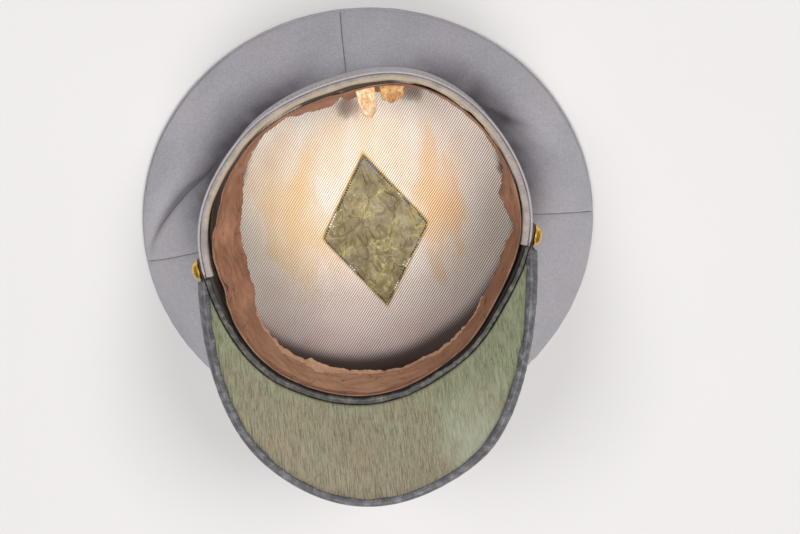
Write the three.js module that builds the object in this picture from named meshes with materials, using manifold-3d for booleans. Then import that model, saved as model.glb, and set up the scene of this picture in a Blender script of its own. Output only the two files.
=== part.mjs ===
// A peaked cap of grey cloth, lying upside down on its flat crown.
// Millimetres, +Z up. The origin is the centre of the crown's flat top, and the front of the cap faces -Y.
// Angles are in degrees. Around the cap they run from +X (the right of the view) towards +Y (the back).
// Along the peak they run from the front, and grow towards +X.

import * as THREE from "three";
import { mergeVertices } from "three/addons/utils/BufferGeometryUtils.js";
import Module from "manifold-3d";

// Crown
const crown_width = 279.4;
const crown_length = 272;
const crown_thick = 2.0;
const welt_width = 2.8;
const welt_lift = 0.2;
const quarter_thick = 1.8;
const quarter_bow = 3.0;
const seam_angles = [0, 93, 185, 270];

// The opening: a warped oval on a tilted plane, higher at the front, and set back from the crown's centre
const rim_long = 200.2;
const rim_short = 184.1;
const rim_turn = 46.3;
const rim_height = 79;
const rim_tilt = 8;
const rim_shift_right = -1.7;
const rim_shift_back = 16.8;

// Band, and what is fastened along its edge
const band_height = 42;
const band_thick = 1.7;
const outer_band_thick = 1.4;
const outer_band_setback = 2.6;
const edge_roll_width = 4.2;
const edge_roll_thick = 3.5;
const seam_strip_width = 4.2;
const seam_strip_thick = 2.8;
const seam_strip_proud = 0.5;

// Inside
const sweatband_width = 36;
const sweatband_thick = 1.2;
const sweatband_setback = 0.8;
const lining_thick = 1.0;
const lining_floor = 5;
const lining_inset = 22;
const lining_tuck = 10;
const shield_long = 99;
const shield_wide = 66.5;
const shield_turn = 4.9;
const shield_right = 4.4;
const shield_back = -2.1;
const shield_thick = 0.8;
const shield_corner = 5;

// Peak
const peak_length = 61;
const peak_slope = 32;
const peak_turn = -6;
const peak_spread_ratio = 0.21;
const peak_end_left_angle = -79.3;
const peak_end_right_angle = 82.5;
const peak_longest_angle = 23.7;
const peak_fullness_power = 2.6;
const peak_taper_power = 1.05;
const peak_thick = 2.4;
const facing_thick = 0.7;
const binding_width = 3.9;
const binding_thick = 0.9;

// Chin strap and its two buttons
const strap_width = 11;
const strap_thick = 1.5;
const strap_gap = 1.8;
const strap_end = 7;
const button_width = 13.5;
const button_dome = 4.2;
const button_rim = 0.8;
const shank_width = 3;
const button_left_angle = -81.5;
const button_right_angle = 85.5;

// The front of the cap, as an angle around it
const front_angle = -90;

// Room left between pieces that touch, and how finely round forms are faceted
const clearance = 0.3;
const ring_steps = 60;
const peak_steps = 34;
const peak_rows = 4;
const quarter_steps = 15;
const quarter_rows = 5;

// How far the worn rim stands out from a true oval, as a share of its width
const rim_wander = [
  { at: 0, out: 0.008 },
  { at: 36, out: -0.006 },
  { at: 64, out: -0.003 },
  { at: 101, out: -0.021 },
  { at: 140, out: -0.003 },
  { at: 168, out: 0.008 },
  { at: 206, out: -0.014 },
  { at: 238, out: 0.002 },
  { at: 270, out: 0.015 },
  { at: 304, out: 0.002 },
  { at: 330, out: -0.01 },
];

// How far the free edge of the sweatband leans inwards around the cap, as a share of its width
const sweatband_lean = [
  { at: 0, lean: 0.12 },
  { at: 10, lean: 0.2 },
  { at: 28, lean: 0.03 },
  { at: 60, lean: 0.04 },
  { at: 88, lean: 0.21 },
  { at: 110, lean: 0.2 },
  { at: 124, lean: 0.07 },
  { at: 142, lean: 0.12 },
  { at: 158, lean: 0.32 },
  { at: 172, lean: 0.43 },
  { at: 198, lean: 0.43 },
  { at: 214, lean: 0.22 },
  { at: 248, lean: 0.15 },
  { at: 268, lean: 0.15 },
  { at: 288, lean: 0.02 },
  { at: 325, lean: 0 },
  { at: 348, lean: 0.07 },
];

// Soft hollows pressed into the crown's quarters, each a valley that may run aslant.
// "along" runs from the crown's edge (0) to the band (1), and deep is a share of the quarter's own length there.
// slant is the valley's turn around the cap over the whole way from the band to the crown's edge.
const hollows = [
  { at: 122, spread: 24, slant: 0, along: 0.8, reach: 0.35, deep: 0.08 },
  { at: 166, spread: 7, slant: 26, along: 0.5, reach: 0.45, deep: 0.1 },
  { at: 28, spread: 10, slant: -20, along: 0.6, reach: 0.4, deep: 0.08 },
  { at: 232, spread: 22, slant: 0, along: 0.6, reach: 0.4, deep: 0.05 },
];

// Scraps of torn leather at the back, each hanging from the top of the sweatband.
// Width, length and the three lifts of its bent end are shares of the sweatband's width.
const scraps = [
  { name: "torn_scrap", at: 86.8, width: 0.33, length: 0.5, drop: 0.14, sag: 0.24, curl: 0.05, thick: 1.4 },
  { name: "torn_tab", at: 76.5, width: 0.42, length: 0.28, drop: 0.1, sag: 0.08, curl: 0.04, thick: 1.2 },
];

const looks = {
  crown_cloth: { color: 0x96949a, roughness: 0.95, metalness: 0 },
  band_cloth: { color: 0xa8a09f, roughness: 0.95, metalness: 0 },
  edge_cloth: { color: 0xb5a9a6, roughness: 0.95, metalness: 0 },
  sweat_leather: { color: 0x966d5a, roughness: 0.8, metalness: 0 },
  suede: { color: 0xe6b987, roughness: 0.95, metalness: 0 },
  lining_cloth: { color: 0xe0cdb8, roughness: 0.9, metalness: 0 },
  oiled_film: { color: 0x7d7440, roughness: 0.4, metalness: 0 },
  peak_board: { color: 0x2b2b2f, roughness: 0.6, metalness: 0 },
  facing_leather: { color: 0x7f8a60, roughness: 0.5, metalness: 0 },
  black_leather: { color: 0x33353c, roughness: 0.5, metalness: 0 },
  strap_leather: { color: 0x6b4b3a, roughness: 0.6, metalness: 0 },
  gilt: { color: 0xc8a03c, roughness: 0.3, metalness: 1 },
};

const wasm = await Module();
wasm.setup();

const cap = new THREE.Group();
const radians = THREE.MathUtils.degToRad;

function range(count, make) {
  return Array.from({ length: count }, (_, i) => make(i));
}

function blend(a, b, share) {
  return a + (b - a) * share;
}

function add(name, geometry, look) {
  const mesh = new THREE.Mesh(geometry, new THREE.MeshStandardMaterial(looks[look]));
  mesh.name = name;
  cap.add(mesh);
  return mesh;
}

// The signed volume shows which way the triangles face.
function volume_of(points, triangles) {
  let sum = 0;
  for (const [a, b, c] of triangles) {
    sum += points[a].dot(points[b].clone().cross(points[c])) / 6;
  }
  return sum;
}

function closed_geometry(points, triangles) {
  const outward = volume_of(points, triangles) > 0;
  const index = triangles.flatMap(([a, b, c]) => (outward ? [a, b, c] : [a, c, b]));
  const geometry = new THREE.BufferGeometry();
  geometry.setAttribute("position", new THREE.Float32BufferAttribute(points.flatMap((p) => p.toArray()), 3));
  geometry.setIndex(index);
  return geometry;
}

// A skin through rings of points, each ring closed on itself and as long as the next.
// The row of rings closes into a loop, is shut by a flat section at each end, or is drawn to a point at each end.
function skin(rings, ends) {
  const points = rings.flat();
  const count = rings[0].length;
  const triangles = [];
  const spans = ends.loop ? rings.length : rings.length - 1;
  for (let i = 0; i < spans; i++) {
    const next = (i + 1) % rings.length;
    for (let j = 0; j < count; j++) {
      const k = (j + 1) % count;
      const [a, b, c, d] = [i * count + j, i * count + k, next * count + k, next * count + j];
      triangles.push([a, b, c], [a, c, d]);
    }
  }
  const last = (rings.length - 1) * count;
  if (ends.section) {
    for (const [a, b, c] of THREE.ShapeUtils.triangulateShape(ends.section, [])) {
      triangles.push(section_faces_back(ends.section, a, b, c) ? [a, b, c] : [a, c, b]);
      triangles.push(section_faces_back(ends.section, a, b, c)
        ? [last + a, last + c, last + b]
        : [last + a, last + b, last + c]);
    }
  }
  if (ends.tips) {
    points.push(...ends.tips);
    const [first_tip, last_tip] = [points.length - 2, points.length - 1];
    for (let j = 0; j < count; j++) {
      const k = (j + 1) % count;
      triangles.push([first_tip, k, j], [last_tip, last + j, last + k]);
    }
  }
  return closed_geometry(points, triangles);
}

// Whether a triangle of a flat section runs against the order of the section's own points.
function section_faces_back(section, a, b, c) {
  const area = THREE.ShapeUtils.area([section[a], section[b], section[c]]);
  return area * THREE.ShapeUtils.area(section) < 0;
}

// A sheet whose two faces are given row by row. Each row becomes one ring: out along one face, back along the other.
function sheet(rows_under, rows_over) {
  const columns = rows_under[0].length;
  const section = [
    ...range(columns, (j) => new THREE.Vector2(j, 0)),
    ...range(columns, (j) => new THREE.Vector2(columns - 1 - j, 1)),
  ];
  const rings = rows_under.map((row, i) => [...row, ...rows_over[i].slice().reverse()]);
  return skin(rings, { section });
}

function to_solid(geometry) {
  const bare = geometry.clone();
  bare.deleteAttribute("normal");
  bare.deleteAttribute("uv");
  const merged = mergeVertices(bare, 1e-4);
  const vertProperties = merged.attributes.position.array;
  const triVerts = new Uint32Array(merged.index.array);
  return new wasm.Manifold(new wasm.Mesh({ numProp: 3, vertProperties, triVerts }));
}

function cut(geometry, cutters) {
  let solid = to_solid(geometry);
  for (const cutter of cutters) {
    solid = solid.subtract(to_solid(cutter));
  }
  const mesh = solid.getMesh();
  const result = new THREE.BufferGeometry();
  result.setAttribute("position", new THREE.Float32BufferAttribute(mesh.vertProperties, 3));
  result.setIndex(Array.from(mesh.triVerts));
  return result;
}

// The opening's own frame: u to the right, v to the back along the tilted plane, w out of the opening.
const tilt = radians(rim_tilt);
const rim_center = new THREE.Vector3(rim_shift_right, rim_shift_back, rim_height);
const rim_u = new THREE.Vector3(1, 0, 0);
const rim_v = new THREE.Vector3(0, Math.cos(tilt), -Math.sin(tilt));
const rim_w = new THREE.Vector3(0, Math.sin(tilt), Math.cos(tilt));

function in_rim_frame(u, v, w) {
  return rim_center.clone().addScaledVector(rim_u, u).addScaledVector(rim_v, v).addScaledVector(rim_w, w);
}

function direction_in_rim_frame(u, v, w) {
  return in_rim_frame(u, v, w).sub(rim_center);
}

// A value from a table around the cap, blended between its rows.
function around(table, key, angle) {
  const turn = THREE.MathUtils.euclideanModulo(angle, 360);
  const after = table.findIndex((row) => row.at > turn);
  const high = after < 0 ? { ...table[0], at: 360 } : table[after];
  const low = table[(after < 0 ? table.length : after) - 1];
  const share = (turn - low.at) / (high.at - low.at);
  return blend(low[key], high[key], (1 - Math.cos(Math.PI * share)) / 2);
}

// The rim at an angle around the cap: an oval that wanders a little.
function rim_point(angle) {
  const from_long = radians(angle - rim_turn);
  const [a, b] = [rim_long / 2, rim_short / 2];
  const radius = 1 / Math.hypot(Math.cos(from_long) / a, Math.sin(from_long) / b);
  const point = new THREE.Vector2(radius * Math.cos(from_long), radius * Math.sin(from_long));
  const square = new THREE.Vector2(point.x / a ** 2, point.y / b ** 2).normalize();
  point.addScaledVector(square, around(rim_wander, "out", angle) * rim_short);
  return point.rotateAround(new THREE.Vector2(), radians(rim_turn));
}

// The rim's point and its outward direction.
function oval(angle) {
  const along = rim_point(angle + 0.5).sub(rim_point(angle - 0.5)).normalize();
  return { point: rim_point(angle), normal: new THREE.Vector2(along.y, -along.x) };
}

// A point beside the oval: out from it, and up out of the opening.
function by_rim(angle, out, up) {
  const { point, normal } = oval(angle);
  return in_rim_frame(point.x + normal.x * out, point.y + normal.y * out, up);
}

function by_crown(angle, inset, z) {
  const turn = radians(angle);
  return new THREE.Vector3(
    (crown_width / 2 - inset) * Math.cos(turn),
    (crown_length / 2 - inset) * Math.sin(turn),
    z,
  );
}

const all_round = range(ring_steps, (i) => (i * 360) / ring_steps);

// A wall around the oval with one section of (out, up) pairs all the way.
function rim_ring(section) {
  return skin(all_round.map((angle) => section.map(([out, up]) => by_rim(angle, out, up))), { loop: true });
}

// The same along a part of the oval, with flat ends.
function rim_strip(section, from, to, step_count) {
  const rings = range(step_count + 1, (i) => {
    const angle = blend(from, to, i / step_count);
    return section.map(([out, up]) => by_rim(angle, out, up));
  });
  return skin(rings, { section: section.map(([out, up]) => new THREE.Vector2(out, up)) });
}

// Radial build of the band, counted inwards from the outer band's face
const band_out = -outer_band_thick - clearance;
const band_in = band_out - band_thick;
const roll_out = band_out - 0.5 * clearance;
const roll_in = roll_out - edge_roll_width;
const band_top = -edge_roll_thick - clearance;
const strap_top = -(peak_thick + facing_thick + clearance) / Math.cos(radians(peak_slope)) - strap_gap;
const strap_middle = strap_top - strap_width / 2;
const strap_in = clearance;
const strap_out = strap_in + strap_thick;
const sweatband_out = roll_in - clearance;

// Crown: the flat top, the welt around it, and four quarters

function crown_top() {
  const inset = welt_width + clearance;
  const flat = (z) => all_round.map((angle) => by_crown(angle, inset, z));
  const tips = [new THREE.Vector3(0, 0, 0), new THREE.Vector3(0, 0, crown_thick)];
  return skin([flat(0), flat(crown_thick)], { tips });
}

function crown_welt() {
  const radius = welt_width / 2;
  const rings = all_round.map((angle) =>
    range(8, (i) => {
      const turn = (i * Math.PI) / 4;
      return by_crown(angle, radius - radius * Math.cos(turn), welt_lift + radius + radius * Math.sin(turn));
    }));
  return skin(rings, { loop: true });
}

const welt_top = welt_lift + welt_width;
const quarter_edge_up = -band_height - clearance - quarter_thick;

function hollow_depth(angle, along) {
  let depth = 0;
  for (const row of hollows) {
    const middle = row.at + row.slant * (row.along - along);
    const turn = THREE.MathUtils.euclideanModulo(angle - middle + 180, 360) - 180;
    depth += row.deep * Math.exp(-((turn / row.spread) ** 2) - ((along - row.along) / row.reach) ** 2);
  }
  return depth;
}

// A point on a quarter's inner face, raised by lift towards its outer face.
function on_quarter(angle, along, lift) {
  const edge = (turn) => by_crown(turn, quarter_thick, welt_top + clearance);
  const seat = (turn) => by_rim(turn, -quarter_thick, quarter_edge_up);
  const [low, high] = [edge(angle), seat(angle)];
  const across = high.clone().sub(low);
  const length = across.length();
  const side = edge(angle + 1).lerp(seat(angle + 1), along).sub(edge(angle - 1).lerp(seat(angle - 1), along));
  const normal = side.cross(across).normalize().negate();
  normal.multiplyScalar(Math.sign(normal.z) || 1);
  const bow = Math.sin(Math.PI * along);
  const swell = bow * quarter_bow - hollow_depth(angle, along) * length * bow;
  return low.addScaledVector(across, along).addScaledVector(normal, swell + lift);
}

function crown_quarter(from, to) {
  const trim = THREE.MathUtils.radToDeg(clearance / (rim_short / 2)) / 2;
  const face = (lift) =>
    range(quarter_steps + 1, (i) => {
      const angle = blend(from + trim, to - trim, i / quarter_steps);
      return range(quarter_rows + 1, (j) => on_quarter(angle, j / quarter_rows, lift));
    });
  return sheet(face(0), face(quarter_thick));
}

// The button: a shallow dome with a rolled edge on a plain shank, turned about its own +Y axis

const shank_length = strap_out + clearance - band_in + clearance;

function button() {
  const dome_steps = 4;
  const half = button_width / 2;
  const profile = [
    new THREE.Vector2(0, -shank_length),
    new THREE.Vector2(shank_width / 2, -shank_length),
    new THREE.Vector2(shank_width / 2, 0),
    new THREE.Vector2(half, 0),
    ...range(dome_steps, (i) => {
      const turn = (i * Math.PI) / (2 * dome_steps);
      return new THREE.Vector2(half * Math.cos(turn), button_rim + button_dome * Math.sin(turn));
    }),
    new THREE.Vector2(0, button_rim + button_dome),
  ];
  return new THREE.LatheGeometry(profile, 16);
}

// Turns a shape on its own +Y axis so that it points out of the band at an angle from the front.
function aim_out_of_band(object, from_front, out) {
  const angle = front_angle + from_front;
  const { normal } = oval(angle);
  object.position.copy(by_rim(angle, out, strap_middle));
  object.quaternion.setFromUnitVectors(
    new THREE.Vector3(0, 1, 0),
    direction_in_rim_frame(normal.x, normal.y, 0).normalize(),
  );
  return object;
}

function shank_hole(from_front) {
  const radius = shank_width / 2 + clearance;
  const hole = new THREE.CylinderGeometry(radius, radius, 4 * shank_length, 12);
  const placed = aim_out_of_band(new THREE.Object3D(), from_front, 0);
  placed.updateMatrixWorld(true);
  return hole.applyMatrix4(placed.matrixWorld);
}

const shank_holes = [shank_hole(button_left_angle), shank_hole(button_right_angle)];

// Band

function band() {
  return cut(rim_ring([
    [band_in, band_top],
    [band_out, band_top],
    [band_out, -band_height],
    [band_in, -band_height],
  ]), shank_holes);
}

function outer_band() {
  return cut(rim_ring([
    [-outer_band_thick, -outer_band_setback],
    [0, -outer_band_setback],
    [0, -band_height],
    [-outer_band_thick, -band_height],
  ]), shank_holes);
}

// The cloth rolled over the rim around the back, half round on top.
function edge_roll() {
  const middle = (roll_in + roll_out) / 2;
  const radius = edge_roll_width / 2;
  const section = [
    [roll_in, -edge_roll_thick],
    [roll_out, -edge_roll_thick],
    ...range(5, (i) => {
      const turn = (i * Math.PI) / 4;
      return [middle + radius * Math.cos(turn), radius * (Math.sin(turn) - 1)];
    }),
  ];
  const gap = THREE.MathUtils.radToDeg(clearance / rim_short);
  const from = front_angle + peak_end_right_angle + gap;
  const to = front_angle + peak_end_left_angle - gap + 360;
  return rim_strip(section, from, to, ring_steps / 2);
}

// The black strip over the peak's seam, along the front of the rim.
function seam_strip() {
  const out = peak_root_out - clearance;
  const inner = out - seam_strip_width;
  const low = seam_strip_proud - seam_strip_thick;
  const section = [
    [inner, low],
    [out, low],
    [out, blend(low, seam_strip_proud, 0.6)],
    [blend(out, inner, 0.25), seam_strip_proud],
    [blend(out, inner, 0.75), seam_strip_proud],
    [inner, blend(low, seam_strip_proud, 0.6)],
  ];
  const gap = THREE.MathUtils.radToDeg(clearance / rim_short);
  const from = front_angle + peak_end_left_angle + gap;
  const to = front_angle + peak_end_right_angle - gap;
  return rim_strip(section, from, to, ring_steps / 2);
}

// Inside: sweatband, lining, sweat shield and the torn scraps

// A point on the sweatband: down its width from the rim, and in through its thickness.
function on_sweatband(angle, down, inwards) {
  const lean = around(sweatband_lean, "lean", angle);
  const out = sweatband_out - lean * sweatband_width * down - inwards;
  const up = -sweatband_setback - Math.sqrt(1 - lean ** 2) * sweatband_width * down;
  return by_rim(angle, out, up);
}

function sweatband() {
  const rings = all_round.map((angle) => [
    on_sweatband(angle, 0, 0),
    on_sweatband(angle, 0.5, 0),
    on_sweatband(angle, 1, 0),
    on_sweatband(angle, 1, sweatband_thick),
    on_sweatband(angle, 0.5, sweatband_thick),
    on_sweatband(angle, 0, sweatband_thick),
  ]);
  return skin(rings, { loop: true });
}

function lining() {
  const outside = band_in - clearance;
  const inside = outside - lining_thick;
  const top = -band_height + lining_tuck;
  const foot = -band_height - quarter_thick;
  const at_rim = (out, up) => all_round.map((angle) => by_rim(angle, out, up));
  const at_floor = (inset, z) => all_round.map((angle) => by_crown(angle, inset, z));
  const rings = [
    at_floor(lining_inset, lining_floor - lining_thick),
    at_rim(outside, foot),
    at_rim(outside, top),
    at_rim(inside, top),
    at_rim(inside, foot),
    at_floor(lining_inset + lining_thick, lining_floor),
  ];
  const tips = [new THREE.Vector3(0, 0, lining_floor - lining_thick), new THREE.Vector3(0, 0, lining_floor)];
  return skin(rings, { tips });
}

// A rhombus of oiled film with blunt side corners, flat on the lining.
function sweat_shield() {
  const [half_long, half_wide] = [shield_long / 2, shield_wide / 2];
  const blunt = shield_corner / Math.hypot(half_long, half_wide);
  const outline = new THREE.Shape([
    new THREE.Vector2(0, half_long),
    new THREE.Vector2(-half_wide * (1 - blunt), half_long * blunt),
    new THREE.Vector2(-half_wide * (1 - blunt), -half_long * blunt),
    new THREE.Vector2(0, -half_long),
    new THREE.Vector2(half_wide * (1 - blunt), -half_long * blunt),
    new THREE.Vector2(half_wide * (1 - blunt), half_long * blunt),
  ]);
  return new THREE.ExtrudeGeometry(outline, { depth: shield_thick, bevelEnabled: false });
}

function scrap(row) {
  const around_steps = 6;
  const out_steps = 4;
  const width = row.width * sweatband_width;
  const half_turn = THREE.MathUtils.radToDeg(width / rim_short);
  const start = clearance + sweatband_thick;
  const point = (i, j, lift) => {
    const across = (2 * i) / around_steps - 1;
    const along = j / out_steps;
    const angle = row.at + across * half_turn * (1 - 0.12 * along ** 2);
    const root = on_sweatband(angle, row.drop, start);
    const inwards = on_sweatband(angle, row.drop, start + 1).sub(root);
    const length = row.length * along * (1 - 0.25 * across ** 2);
    const sag = row.sag * along ** 2 - row.curl * Math.cos(2 * Math.PI * across) * along;
    return root
      .addScaledVector(inwards, length * sweatband_width)
      .addScaledVector(rim_w, lift - sag * sweatband_width);
  };
  const face = (lift) => range(around_steps + 1, (i) => range(out_steps + 1, (j) => point(i, j, lift)));
  return sheet(face(0), face(row.thick));
}

// Peak

const slope = radians(peak_slope);
const peak_root_out = clearance + 0.1;
const facing_back = facing_thick + clearance;
const peak_depth = facing_back + peak_thick;

// The direction in which the peak leaves the rim at an angle from the front.
function peak_direction(from_front) {
  const heading = radians(front_angle + peak_turn + peak_spread_ratio * from_front);
  return direction_in_rim_frame(
    Math.cos(slope) * Math.cos(heading),
    Math.cos(slope) * Math.sin(heading),
    Math.sin(slope),
  );
}

function peak_tangent(from_front) {
  const { normal } = oval(front_angle + from_front);
  return direction_in_rim_frame(-normal.y, normal.x, 0);
}

// A point in the peak: "reach" is the way out from the rim along the slope, "depth" the way down from its facing.
function in_peak(from_front, reach, depth) {
  const direction = peak_direction(from_front);
  const facing_normal = peak_tangent(from_front).cross(direction).normalize().negate();
  return by_rim(front_angle + from_front, peak_root_out, 0)
    .addScaledVector(direction, reach)
    .addScaledVector(facing_normal, -depth);
}

// How far the peak reaches out, from nothing at its two ends.
function peak_reach(from_front) {
  const end = from_front < peak_longest_angle ? peak_end_left_angle : peak_end_right_angle;
  const share = Math.min((from_front - peak_longest_angle) / (end - peak_longest_angle), 1);
  return peak_length * (1 - share ** peak_fullness_power) ** peak_taper_power;
}

// Where a layer of the peak starts, so that its root stands square against the band.
function peak_root(depth) {
  return -depth * Math.tan(slope);
}

// Angles along the peak, closer together near its ends.
const peak_angles = range(peak_steps + 1, (i) => {
  const end_trim = 0.11;
  const turn = blend(end_trim, Math.PI - end_trim, i / peak_steps);
  return blend(peak_end_left_angle, peak_end_right_angle, (1 - Math.cos(turn)) / 2);
});

function peak_layer(depth_over, depth_under) {
  const face = (depth) =>
    peak_angles.map((from_front) =>
      range(peak_rows + 1, (j) =>
        in_peak(from_front, blend(peak_root(depth), peak_reach(from_front), j / peak_rows), depth)));
  return sheet(face(depth_under), face(depth_over));
}

// The leather binding folded round the peak's edge, as a channel that follows the peak's own faces.
function peak_binding() {
  const [over_in, under_in] = [-clearance, peak_depth + clearance];
  const [over_out, under_out] = [over_in - binding_thick, under_in + binding_thick];
  const [lip, web_in, web_out] = [binding_width - binding_thick, -clearance, -clearance - binding_thick];
  const section = [
    [lip, over_out],
    [web_in, over_out],
    [web_out, over_in + 0.4 * binding_thick],
    [web_out, under_in - 0.4 * binding_thick],
    [web_in, under_out],
    [lip, under_out],
    [lip, under_in],
    [web_in, under_in],
    [web_in, over_in],
    [lip, over_in],
  ];
  const rings = peak_angles.map((from_front) => section.map(([inwards, depth]) =>
    beside_peak_edge(from_front, inwards, depth)));
  return skin(rings, { section: section.map(([inwards, depth]) => new THREE.Vector2(inwards, depth)) });
}

// A point a given way inwards from the peak's edge, kept clear of the rim.
function beside_peak_edge(from_front, inwards, depth) {
  const step = 0.05;
  const reach = peak_reach(from_front);
  const before = in_peak(from_front - step, peak_reach(from_front - step), 0);
  const after = in_peak(from_front + step, peak_reach(from_front + step), 0);
  const along_edge = after.sub(before).normalize();
  const direction = peak_direction(from_front);
  const sideways = in_peak(from_front + step, reach, 0).sub(in_peak(from_front - step, reach, 0))
    .divideScalar(2 * step);
  const normal = sideways.clone().cross(direction).normalize();
  const inward = normal.clone().cross(along_edge).normalize();
  if (inward.dot(direction) > 0) inward.negate();
  // The inward step in the peak's own two directions, its angle and its reach
  const flat_side = sideways.clone().addScaledVector(direction, -sideways.dot(direction));
  const turn = inward.dot(flat_side) / flat_side.lengthSq();
  const rise = inward.dot(direction) - turn * sideways.dot(direction);
  const lowest = peak_root(depth) + clearance;
  const room = rise < 0 ? (reach - lowest) / -rise : inwards;
  const way = Math.min(inwards, Math.max(room, 0));
  return in_peak(from_front + turn * way, reach + rise * way, depth);
}

function chin_strap() {
  const reach_past = THREE.MathUtils.radToDeg(strap_end / (rim_short / 2));
  const section = [
    [strap_in, strap_top],
    [strap_out, strap_top],
    [strap_out, strap_top - strap_width],
    [strap_in, strap_top - strap_width],
  ];
  const from = front_angle + button_left_angle - reach_past;
  const to = front_angle + button_right_angle + reach_past;
  return cut(rim_strip(section, from, to, peak_steps), shank_holes);
}

add("crown_top", crown_top(), "crown_cloth");
add("crown_welt", crown_welt(), "crown_cloth");
const quarter_names = ["back_right", "back_left", "front_left", "front_right"];
quarter_names.forEach((name, i) => {
  const next_seam = i + 1 < seam_angles.length ? seam_angles[i + 1] : seam_angles[0] + 360;
  add("crown_quarter_" + name, crown_quarter(seam_angles[i], next_seam), "crown_cloth");
});
add("band", band(), "band_cloth");
add("outer_band", outer_band(), "band_cloth");
add("edge_roll", edge_roll(), "edge_cloth");
add("seam_strip", seam_strip(), "black_leather");
add("sweatband", sweatband(), "sweat_leather");
add("lining", lining(), "lining_cloth");
const shield = add("sweat_shield", sweat_shield(), "oiled_film");
shield.rotation.z = radians(shield_turn);
shield.position.set(shield_right, shield_back, lining_floor + clearance);
for (const row of scraps) {
  add(row.name, scrap(row), "suede");
}
add("peak", peak_layer(facing_back, peak_depth), "peak_board");
add("peak_facing", peak_layer(0, facing_thick), "facing_leather");
add("peak_binding", peak_binding(), "black_leather");
add("chin_strap", chin_strap(), "strap_leather");
aim_out_of_band(add("button_left", button(), "gilt"), button_left_angle, strap_out + clearance);
aim_out_of_band(add("button_right", button(), "gilt"), button_right_angle, strap_out + clearance);

export default cap;
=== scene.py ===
# %% [markdown]
# A worn peaked cap, lying upside down on its flat crown, seen from above into its lining. The real cap is
# sewn from flat parts: a disc and four quarters of grey cloth, a straight band, a peak of board covered in
# leather, and inside a leather sweatband, a twill lining and a patch of oiled film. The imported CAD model
# is the fixed frame. Each piece here stands on the same formulas as its CAD solid, with finer steps, soft
# edges, folds and wear, and then takes that solid's place.

# %% Load the frame
import math

import bmesh
import bpy
import numpy as np
from mathutils import Matrix, Vector


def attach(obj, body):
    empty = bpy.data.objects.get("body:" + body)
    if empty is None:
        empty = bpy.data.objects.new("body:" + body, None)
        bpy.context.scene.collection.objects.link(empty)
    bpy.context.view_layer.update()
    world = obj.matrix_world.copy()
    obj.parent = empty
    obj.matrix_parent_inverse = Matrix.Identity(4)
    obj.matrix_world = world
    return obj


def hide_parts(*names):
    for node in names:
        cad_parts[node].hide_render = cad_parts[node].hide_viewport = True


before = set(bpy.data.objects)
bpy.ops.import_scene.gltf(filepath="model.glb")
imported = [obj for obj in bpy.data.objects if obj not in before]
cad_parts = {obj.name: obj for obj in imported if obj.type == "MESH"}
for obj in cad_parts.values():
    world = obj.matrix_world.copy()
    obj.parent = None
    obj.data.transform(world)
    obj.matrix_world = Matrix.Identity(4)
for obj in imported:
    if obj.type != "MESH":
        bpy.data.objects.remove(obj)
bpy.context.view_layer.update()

# %% [markdown]
# The camera comes first, because everything else is judged through it. The photograph looks nearly
# straight down, from a little behind the cap, so the picture's up is the cap's back. Lens and place were
# fitted to the outlines of the crown and the rim. A small shift stands for a picture that was not cropped
# round its middle.

# %% The camera of the photograph
picture_width = 800
sensor_width = 36
lens_pixels = 1729.06
lean_back = math.radians(18)
lean_right = math.radians(0.664)
camera_roll = math.radians(-4.3)
camera_distance = 1.0
looked_at = Vector((0, 0, 0.079))
axis_in_picture = (369.46, 264.46)
picture_middle = (400, 267)


def new_object(name, data):
    made = bpy.data.objects.new(name, data)
    bpy.context.scene.collection.objects.link(made)
    return made


towards_camera = Vector((
    math.sin(lean_right),
    math.sin(lean_back) * math.cos(lean_right),
    math.cos(lean_back) * math.cos(lean_right),
))
level_right = Vector((0, 1, 0)).cross(towards_camera).normalized()
level_up = towards_camera.cross(level_right)
right = level_right * math.cos(camera_roll) + level_up * math.sin(camera_roll)
up = level_up * math.cos(camera_roll) - level_right * math.sin(camera_roll)

camera = new_object("camera", bpy.data.cameras.new("camera"))
camera.data.lens = sensor_width * lens_pixels / picture_width
camera.data.shift_x = (picture_middle[0] - axis_in_picture[0]) / picture_width
camera.data.shift_y = (axis_in_picture[1] - picture_middle[1]) / picture_width
camera.matrix_world = Matrix.Translation(looked_at + towards_camera * camera_distance) @ Matrix(
    (right, up, towards_camera)).transposed().to_4x4()
bpy.context.scene.camera = camera
print("camera at", [round(v, 3) for v in camera.matrix_world.translation])

# %% [markdown]
# The sizes are those of the CAD source, in millimetres. Meshes turn them into metres once, when they are
# made. Angles are in degrees and run around the cap from +X, the right of the picture, towards +Y, the
# cap's back.

# %% Sizes
MM = 0.001
crown_width = 279.4
crown_length = 272
crown_thick = 2.0
welt_width = 2.8
welt_lift = 0.2
quarter_thick = 1.8
quarter_bow = 3.0
seam_angles = (0, 93, 185, 270)

rim_long = 200.2
rim_short = 184.1
rim_turn = 46.3
rim_height = 79
rim_tilt = 8
rim_shift_right = -1.7
rim_shift_back = 16.8

band_height = 42
band_thick = 1.7
outer_band_thick = 1.4
outer_band_setback = 2.6
edge_roll_width = 4.2
edge_roll_thick = 3.5
seam_strip_thick = 2.8
seam_strip_proud = 0.5

sweatband_width = 36
sweatband_thick = 1.2
sweatband_setback = 0.8
lining_thick = 1.0
lining_floor = 5
lining_inset = 22
lining_tuck = 10
shield_long = 99
shield_wide = 66.5
shield_turn = 4.9
shield_right = 4.4
shield_back = -2.1
shield_corner = 5

peak_length = 61
peak_slope = 32
peak_turn = -6
peak_spread_ratio = 0.21
peak_end_left_angle = -79.3
peak_end_right_angle = 82.5
peak_longest_angle = 23.7
peak_fullness_power = 2.6
peak_taper_power = 1.05
peak_thick = 2.4
facing_thick = 0.7
binding_width = 3.9
binding_thick = 0.9

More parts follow.
